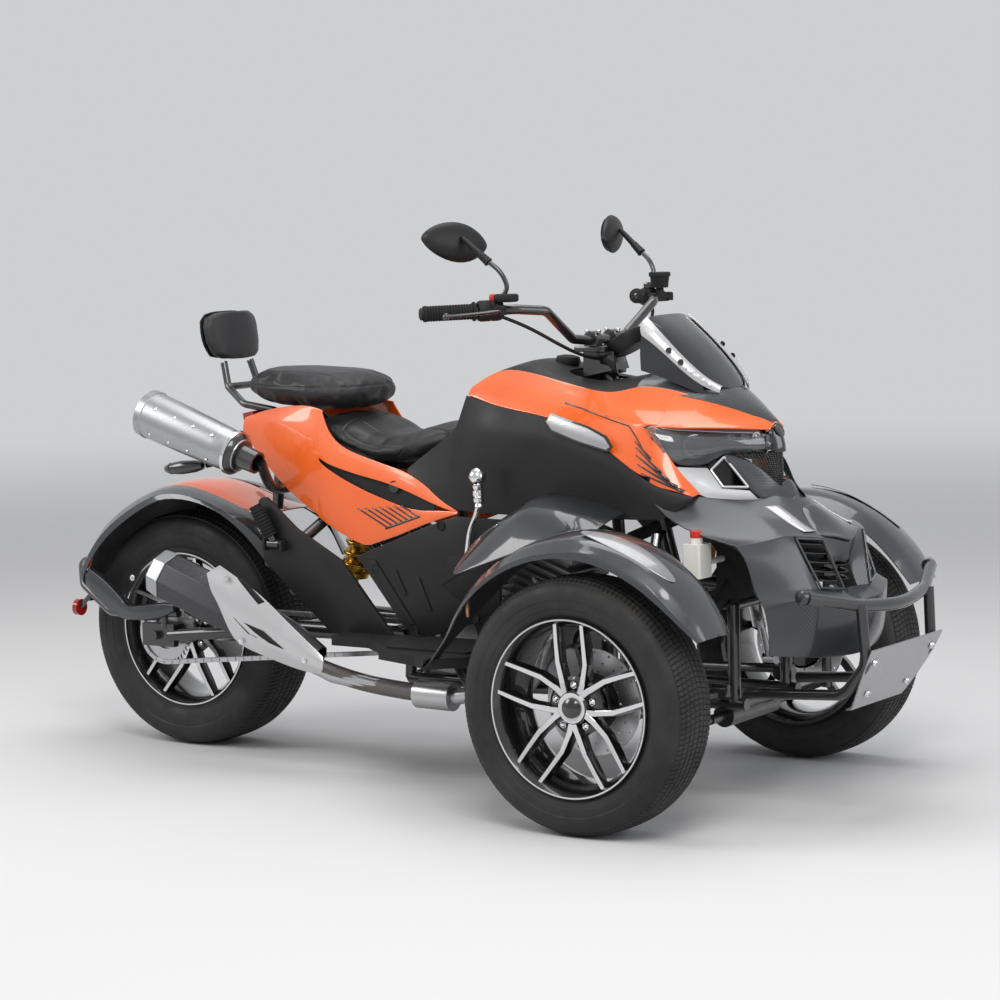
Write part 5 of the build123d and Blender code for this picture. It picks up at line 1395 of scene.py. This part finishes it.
GRIP_TIP = Vector((-432, -455, 1108))
OUTWARD = Vector((-142, -155, -4)).normalized()
FORWARD = Vector((-OUTWARD.y, OUTWARD.x, 0)).normalized()
INNER = GRIP_TIP - OUTWARD * 118


def sided(form, side):
    """A right-hand form on its own side: as it is or flipped."""
    return form if side < 0 else flipped(form)


def grips():
    """Ribbed grips with flanges and bar ends."""
    for side, name in SIDES:
        profile = [(0, 11.2), (0, 21), (3, 22), (6, 20), (7, 16)]
        for rib in range(16):
            at_rib = 8 + rib * 6.4
            profile += [(at_rib, 16.2), (at_rib + 1, 17.4), (at_rib + 4.2, 17.4), (at_rib + 5.2, 16.2)]
        profile += [(112, 18.5), (117, 17.5), (118, 11.2)]
        grip = turned(profile, INNER, OUTWARD, steps=48)
        end = turned([(112, AXIS), (116, 13.5), (123, 14), (125.5, 11), (126, AXIS)], INNER, OUTWARD, steps=32,
                     finish=1)
        piece(f"grip_{name}", sided(join(grip, end), side), "steering", "grip_rubber", "grip", "satin",
              replaces=("grips",) if side < 0 else (), smooth=40)


def hand_controls():
    """Switch pods with levers; a round reservoir on the left bar and a square one on the right."""
    start = INNER - OUTWARD * 62
    up = Vector((0, 0, 1))
    for side, name in SIDES:
        pod = turned([(0, 11.2), (0, 19), (4, 22), (12, 23.5), (24, 23.5), (26, 22), (28, 22), (30, 23.5), (50, 23.5),
                      (56, 21), (58, 16), (58, 11.2)], start, OUTWARD, steps=40)
        block = brick(start + Vector((-38, -34, -16)), start + Vector((2, 6, 18)), 5)
        rear, top = start + OUTWARD * 34 - FORWARD * 26, start + OUTWARD * 14
        switch = brick(rear + Vector((-7, -7, -2)), rear + Vector((7, 7, 9)), 2.5, finish=2)
        button = brick(top + Vector((-12, -12, 20)), top + Vector((12, 12, 36)), 4, finish=1 if side < 0 else 2)
        pivot, tip = start + OUTWARD * 12 + FORWARD * 46, Vector((-375, -448, 1102))
        perch = join(bar(start + OUTWARD * 4 + FORWARD * 6, start + OUTWARD * 14 + FORWARD * 44, 12, 11, 20),
                     turned([(-9, AXIS), (-9, 10), (9, 10), (11, 6), (11, AXIS)], pivot, up, steps=24))
        blade_way = (tip - pivot).normalized()
        side_way = blade_way.cross(up).normalized()
        rows = []
        for share, wide, thick, bow in ((0.02, 9, 5.5, 0), (0.1, 11, 5, 4), (0.3, 10, 4.5, 9), (0.55, 9, 4, 9),
                                        (0.8, 8.5, 4, 4), (0.95, 9, 4.5, 1), (1.0, 7, 4.5, 0)):
            middle = pivot + (tip - pivot) * share - side_way * bow
            rows.append([tuple(middle + side_way * (wide * cos(a)) + up * (thick * sin(a)))
                         for a in (2 * pi * n / 12 for n in range(12))])
        blade = dress(skin(rows, closed=True, caps=True), 3)
        ball = turned([(-9, AXIS), (-7, 5), (-3, 8), (0, 9), (3, 8), (7, 5), (9, AXIS)], tip, blade_way, steps=20,
                      finish=3)
        form = join(pod, block, switch, button, perch, blade, ball)
        pot = start + OUTWARD * -6 + FORWARD * 20 + Vector((0, 0, 40))
        if side > 0:
            form = join(form, turned([(-18, AXIS), (-18, 20), (8, 23), (9, 26), (17, 26), (19, 24), (19, AXIS)], pot,
                                     up, steps=36),
                        bar(pot - Vector((0, 0, 18)), pot - Vector((0, 0, 42)), 9, 11, 16),
                        bar(pot + OUTWARD * -30 - up * 36, pot + OUTWARD * 34 - up * 36, 11, 11, 24))
        else:
            form = join(form, brick(pot + Vector((-24, -20, -22)), pot + Vector((22, 18, -4)), 5))
        piece(f"controls_{name}", sided(form, side), "steering", "black_plastic", "matte", "red_cap", "piano", "frame",
              replaces=("controls",) if side < 0 else (), smooth=38)


def mirrors():
    """Leaf-shaped mirror heads on bent stems with ribbed boots."""
    for side, name in SIDES:
        foot = INNER - OUTWARD * 42 + Vector((0, 0, 12))
        points = [tuple(foot), (-296, -316, 1150), (-304, -322, 1186), (-330, -328, 1214), (-356, -332, 1226)]
        points = [(x, -side * y, z) for x, y, z in points]
        tube(f"mirror_stem_{name}", points, 5.5, "steering", "frame")
        boot = [(0, AXIS), (0, 10)]
        for rib in range(5):
            boot += [(3 + rib * 7, 11.5 - rib * 0.5), (7 + rib * 7, 8.5 - rib * 0.3)]
        boot += [(40, 7), (90, 6.5), (92, AXIS)]
        boot_form = turned(boot, (-338, -329, 1216), (-0.72, -0.1, 0.62), steps=28)
        nut = turned([(0, AXIS), (0, 9), (12, 9), (14, 6), (14, AXIS)], foot, (0, 0, 1), steps=6)
        rows = []
        outline = ((-96, 3, 2), (-88, 16, 8), (-64, 32, 15), (-30, 44, 20), (6, 48, 22), (40, 42, 20), (66, 28, 15),
                   (82, 13, 9), (88, 3, 3))
        for along, tall, deep in outline:
            ring = []
            for number in range(16):
                angle = 2 * pi * number / 16
                face_way = min(0.0, sin(angle)) * 6 + max(0.0, sin(angle)) * deep
                ring.append((along, face_way, tall * cos(angle)))
            rows.append(ring)
        middle = Vector((-424, -332, 1262))
        spread_way = Vector((-0.30, -0.94, 0.13)).normalized()
        front_way = Vector((0.93, -0.30, 0.12)).normalized()
        tall_way = spread_way.cross(front_way).normalized()
        if tall_way.z < 0:
            tall_way = -tall_way
        placed = [[tuple(middle + spread_way * -a + front_way * f + tall_way * t) for a, f, t in ring] for ring in rows]
        head = skin(placed, closed=True, caps=True)
        glass = skin([[tuple(middle + spread_way * -a * 0.93 + front_way * -7.2 + tall_way * t)
                       for t in (-tall * 0.86, 0, tall * 0.86)] for a, tall, _ in outline[1:-1]])
        made = piece(f"mirror_{name}", sided(join(head, boot_form, nut, dress(glass, 2)), side), "steering",
                     "black_plastic", "satin", "matte", "chrome", replaces=("mirrors",) if side < 0 else (), smooth=45)
        soften(made, levels=1)


def steering_head():
    """Folded cover plates, bar clamps with bolts, a key switch and the round gauge at the steering head."""
    parts = [brick((-246, -30, 952), (-204, 30, 1006), 4), brick((-292, -60, 1003), (-208, 60, 1017), 4),
             slab([(-196, -44, 1004), (-190, -44, 956), (-196, -20, 944), (-236, -20, 950), (-240, -44, 1000)], 6.0,
                  1.5)]
    for y in (-42, 42):
        parts.append(turned([(-13, 11.4), (-13, 19), (-11, 21), (11, 21), (13, 19), (13, 11.4)], (-250, y, 1030),
                            steps=36))
        for x in (-266, -234):
            parts.append(turned([(0, AXIS), (0, 6), (5, 6), (6, 5), (6, 3), (3, 2.6), (3, AXIS)], (x, y, 1047),
                                (0, 0, 1), steps=20, finish=1))
    parts.append(turned([(0, AXIS), (0, 15), (7, 15), (9, 12), (9, AXIS)], (-276, 0, 1017), (0, 0, 1), steps=32,
                        finish=1))
    piece("head_clamps", join(*parts), "steering", "dark_metal", "frame", "chrome", smooth=35)
    dial, tilt = (-186, 0, 1034), (-0.5, 0, 0.86)
    gauge = join(turned([(-30, AXIS), (-30, 40), (-6, 50), (2, 50), (4, 46), (3, 44), (2, AXIS)], dial, tilt, steps=48),
                 turned([(2.2, AXIS), (2.2, 43), (3.4, 43), (3.6, AXIS)], dial, tilt, steps=48, finish=1),
                 bar((-214, 0, 1010), (-196, 0, 1022), 12))
    piece("gauge", gauge, "steering", "black_plastic", "satin", "piano", smooth=40)


# ---------------------------------------------------------------- chassis fittings
def nameplates():
    """A bare silver plate with cut corners on each flank, on a black backing that shows round it."""
    outline = [(-262, 858), (-250, 872), (-150, 846), (-104, 826), (-88, 806), (-98, 800), (-176, 818), (-246, 840)]
    rim = [(-266, 858), (-252, 877), (-148, 850), (-100, 830), (-82, 806), (-96, 795), (-176, 813), (-250, 836)]

    def on_flank(x, z, lift):
        return (x, -(222 + (870 - z) * 0.12 + (x + 262) * 0.035 + lift), z)

    plate = slab([on_flank(x, z, 3) for x, z in rim], 3.0, 0.8, finish=1)
    face = slab([on_flank(x, z, 6.5) for x, z in outline], 2.5, 0.6)
    piece("nameplates", both_sides(join(plate, face)), "chassis", "silver_trim", "plate", "piano", smooth=30)


def bow_and_skid():
    """Bumper end caps and the skid plate with its folded edges and button bolts."""
    caps = join(*[turned([(-6, 14.2), (-6, 15.2), (10, 15.2), (15, 12), (16, AXIS), (-6, AXIS)], (421, side * 300, 507),
                         (-0.33, side, 0.2), steps=32) for side in (-1, 1)])
    piece("bow_caps", caps, "chassis", "black_plastic", "lip", smooth=40)
    sheet_form = sheet([[(517, y, 381), (510, y, 366), (481, y * 0.94, 310), (450, y * 0.76, 256), (438, y * 0.72, 240),
                         (424, y * 0.7, 238)] for y in (-172, -120, 0, 120, 172)], ((1, 0.9), (4, 0.9)))
    cover("skid_sheet", face_out(sheet_form, (1, 0, 0.4)), "silver_trim", "plate", replaces=("skid_plate",),
          smooth=60, wall=4.0, bevel=0.8, levels=1)
    buttons = join(*[turned([(0, AXIS), (0, 9), (3, 8.5), (6, 5.5), (6, 3), (3.5, 2.8), (3.5, AXIS)], (x, y, z),
                            (0.88, 0, -0.42), steps=24)
                     for x, y, z in ((504, -140, 351), (504, 140, 351), (463, -96, 275), (463, 96, 275))])
    piece("skid_bolts", buttons, "chassis", "chrome_parts", "chrome", smooth=35)


def springs():
    """The coil spring round the rear damper."""
    foot, head = Vector((REAR_X + 440, 0, 346)), Vector((-880, 0, 724))
    start, end = 0.3, 0.86       # shares of the damper's length
    low, along = foot + (head - foot) * start, (head - foot) * (end - start)
    first = along.normalized().orthogonal().normalized()
    second = along.normalized().cross(first)
    turns, per_turn, radius = 8, 12, 37
    points = []
    for number in range(turns * per_turn + 1):
        angle = 2 * pi * number / per_turn
        points.append(low + along * (number / (turns * per_turn)) + (first * cos(angle) + second * sin(angle)) * radius)
    tube("rear_spring", points, 5.5, "chassis", "gold", steps=(4, 3))


def hoses():
    """Coolant hoses, the bottle's cap, brake lines, and brake hoses that turn with the uprights."""
    cap = [(0, AXIS), (0, 14), (3, 15), (14, 15), (16, 12), (16, AXIS)]
    piece("bottle_cap", turned(cap, (132, -246, 616), (0, 0, 1), steps=24), "chassis", "lamp_red", "red_cap", smooth=40)
    runs = {
        "radiator_hose_low": ([(140, -120, 490), (120, -150, 440), (20, -130, 400), (-120, -100, 400),
                               (-250, -80, 380)], 15),
        "radiator_hose_high": ([(130, 120, 625), (60, 140, 660), (-60, 120, 640), (-240, 90, 560)], 15),
        "bottle_hose": ([(132, -246, 532), (128, -236, 500), (140, -190, 480), (150, -140, 520)], 5),
        "brake_line_right": ([(0, -400, 436), (-20, -360, 452), (-14, -290, 462), (0, -220, 470)], 5),
        "brake_line_left": ([(0, 400, 436), (-20, 360, 452), (-14, 290, 462), (0, 220, 470)], 5),
    }
    for name, (points, radius) in runs.items():
        tube(name, points, radius, "chassis", "matte")
    for side, name in SIDES:
        points = [(x, side * y, z) for x, y, z in ((-66, 432, 372), (-84, 420, 412), (-40, 404, 438), (0, 400, 436))]
        tube(f"brake_hose_{name}", points, 5, f"knuckle_{name}_body", "matte")


def pipes():
    """Braided wrap on the exhaust pipe under the frame."""
    line = [(-560, -185, 205), (-700, -185, 207), (-850, -216, 232), (-925, -235, 262)]
    tube("wrapped_pipe", line, 20.5, "chassis", "braid")


def lights_behind():
    """A round reflector on each side, behind the front wheels."""
    form = turned([(0, AXIS), (0, 22), (5, 22), (6, 20), (7, AXIS)], (-281, -524, 475), (-0.9, -0.5, 0), steps=36)
    piece("side_reflectors", both_sides(form), "chassis", "lamp_red", "peach", smooth=40)


def pegs():
    """Passenger pegs, folded up: a ribbed rubber sleeve on a foot with a cross pin."""
    for side, name in SIDES:
        foot, tip = Vector((-1027, -244, 548)), Vector((-1070, -262, 640))
        along = (tip - foot).normalized()
        length = (tip - foot).length
        profile = [(20, AXIS), (20, 13)]
        for rib in range(9):
            start = 22 + rib * (length - 30) / 9
            profile += [(start, 17.5), (start + 5.5, 17.5), (start + 6.5, 14.5), (start + 7.8, 14.5)]
        profile += [(length, 15), (length, AXIS)]
        sleeve = turned(profile, foot, along, steps=28)
        block = join(bar(foot, foot + along * 24, 9, 9, 16, 1),
                     turned([(-16, AXIS), (-16, 12), (16, 12), (16, AXIS)], foot, (1, 0, 0), steps=24, finish=1))
        pin = turned([(-20, AXIS), (-20, 6), (20, 6), (20, AXIS)], foot, (1, 0, 0), steps=16, finish=2)
        piece(f"peg_{name}", sided(join(sleeve, block, pin), side), f"peg_{name}", "black_plastic", "grip", "frame",
              "chrome", replaces=(f"passenger_peg_{name}",), smooth=40)


def shift_rod():
    """The bent shift rod with its stacked collar and chrome ball."""
    axis = Vector((0.02, -0.1, 1))
    head = (-430, -258, 694)
    collar = turned([(-34, 6.2), (-34, 9), (-30, 10.5), (-24, 8), (-20, 12), (-12, 12), (-10, 9), (-6, 13), (4, 13),
                     (6, 9.5), (12, 12.5), (18, 12.5), (20, 8), (24, 6.2)], head, axis, steps=40)
    ball = turned([(16, AXIS), (18, 7), (22, 13), (30, 18.5), (38, 20), (46, 18), (53, 12), (57, 5), (58, AXIS)], head,
                  axis, steps=40)
    piece("shift_collar", join(collar, ball), "chassis", "chrome_parts", "chrome", smooth=40)
    tube("shift_rod", [(-492, -226, 512), (-480, -232, 570), (-466, -240, 612), (-436, -252, 650), (-430, -256, 690)],
         6, "chassis", "chrome")
    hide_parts("shift_lever")


FADE = 2.6, 11.0             # metres from the middle where the floor starts to fade and where it is gone
BACKDROP = 0.42, 0.66        # strength of the backdrop as a light, and where it is seen or mirrored


def floor_and_light():
    """A pale floor that fades out, a pale backdrop, and soft lamps over, behind and in front."""
    form = bmesh.new()
    bmesh.ops.create_grid(form, x_segments=1, y_segments=1, size=30.0)
    data = bpy.data.meshes.new("floor")
    form.to_mesh(data)
    form.free()
    ground = in_scene("floor", data)
    paint = new_finish("floor_paint", (0.66, 0.66, 0.67), 0.8, Specular_IOR_Level=0.2)
    away = add(paint, "ShaderNodeVectorMath", operation="LENGTH", _0=place_of(paint)).outputs["Value"]
    fade = add(paint, "ShaderNodeMapRange", interpolation_type="SMOOTHSTEP", Value=away, From_Min=FADE[0],
               From_Max=FADE[1])
    clear = add(paint, "ShaderNodeBsdfTransparent")
    blend = add(paint, "ShaderNodeMixShader", _0=fade.outputs["Result"],
                _1=paint.node_tree.nodes["Principled BSDF"].outputs["BSDF"], _2=clear.outputs["BSDF"])
    paint.node_tree.links.new(blend.outputs["Shader"], paint.node_tree.nodes["Material Output"].inputs["Surface"])
    data.materials.append(paint)
    world = bpy.data.worlds.new("studio")
    bpy.context.scene.world = world
    world.use_nodes = True
    backdrop = world.node_tree.nodes["Background"]
    backdrop.inputs["Color"].default_value = (0.94, 0.95, 0.97, 1.0)
    nodes, links = world.node_tree.nodes, world.node_tree.links
    rays = nodes.new("ShaderNodeLightPath")
    seen = rays.outputs["Is Camera Ray"]
    for name in ("Is Glossy Ray", "Is Transmission Ray"):
        either = nodes.new("ShaderNodeMath")
        either.operation = "MAXIMUM"
        links.new(seen, either.inputs[0])
        links.new(rays.outputs[name], either.inputs[1])
        seen = either.outputs[0]
    strength = nodes.new("ShaderNodeMapRange")
    strength.inputs["To Min"].default_value, strength.inputs["To Max"].default_value = BACKDROP
    links.new(seen, strength.inputs["Value"])
    links.new(strength.outputs["Result"], backdrop.inputs["Strength"])
    for name, place, size, power, colour in (
            ("key", (2.6, -3.4, 4.2), 2.4, 165.0, (1.0, 0.97, 0.94)),
            ("fill", (5.0, 0.5, 2.2), 2.6, 60.0, (0.94, 0.97, 1.0)),
            ("back", (-3.0, -2.6, 3.0), 2.0, 80.0, (1.0, 0.98, 0.96)),
            ("top", (0.0, 0.6, 4.5), 3.0, 80.0, (1.0, 1.0, 1.0))):
        lamp = bpy.data.lights.new(name, "AREA")
        lamp.energy, lamp.size, lamp.color = power, size, colour
        holder = in_scene(name, lamp)
        holder.location = place
        aim = Vector((0.1, 0.0, 0.5)) - Vector(place)
        holder.rotation_euler = aim.to_track_quat("-Z", "Y").to_euler()


def paint_cad():
    """Finishes for the parts that keep their solids."""
    for finish, names in CAD_FINISH.items():
        for name in names:
            mesh = NODES[name].data
            mesh.materials.clear()
            mesh.materials.append(FINISH[finish])


CAD_FINISH = {
    "frame": ("frame", "swingarm", "suspension_arms", "knuckle_right", "knuckle_left", "tie_rods", "bumper",
              "handlebar", "steering_cover", "backrest_bracket", "plate_bracket"),
    "cast": ("engine",),
    "steel": ("chain", "exhaust_pipes", "rear_hub"),
    "matte": ("radiator", "footboards"),
    "chrome": ("front_shocks",),
    "gold": ("rear_shock",),
    "red": ("red_lenses",),
    "milk": ("coolant_bottle",),
}

camera()
floor_and_light()
cables()
paint_cad()
wheels()
for part in (shoulders, tank_flanks, dash, tail, slashes, side_covers, front_fenders, arch_liners, cowl, nose,
             headlamps, screen, rear_fenders, silencers, shield, seats, grips, hand_controls, mirrors, steering_head,
             nameplates, pegs, shift_rod, bow_and_skid, springs, hoses, pipes, lights_behind):
    part()

scene = bpy.context.scene
scene.view_settings.view_transform = "Standard"
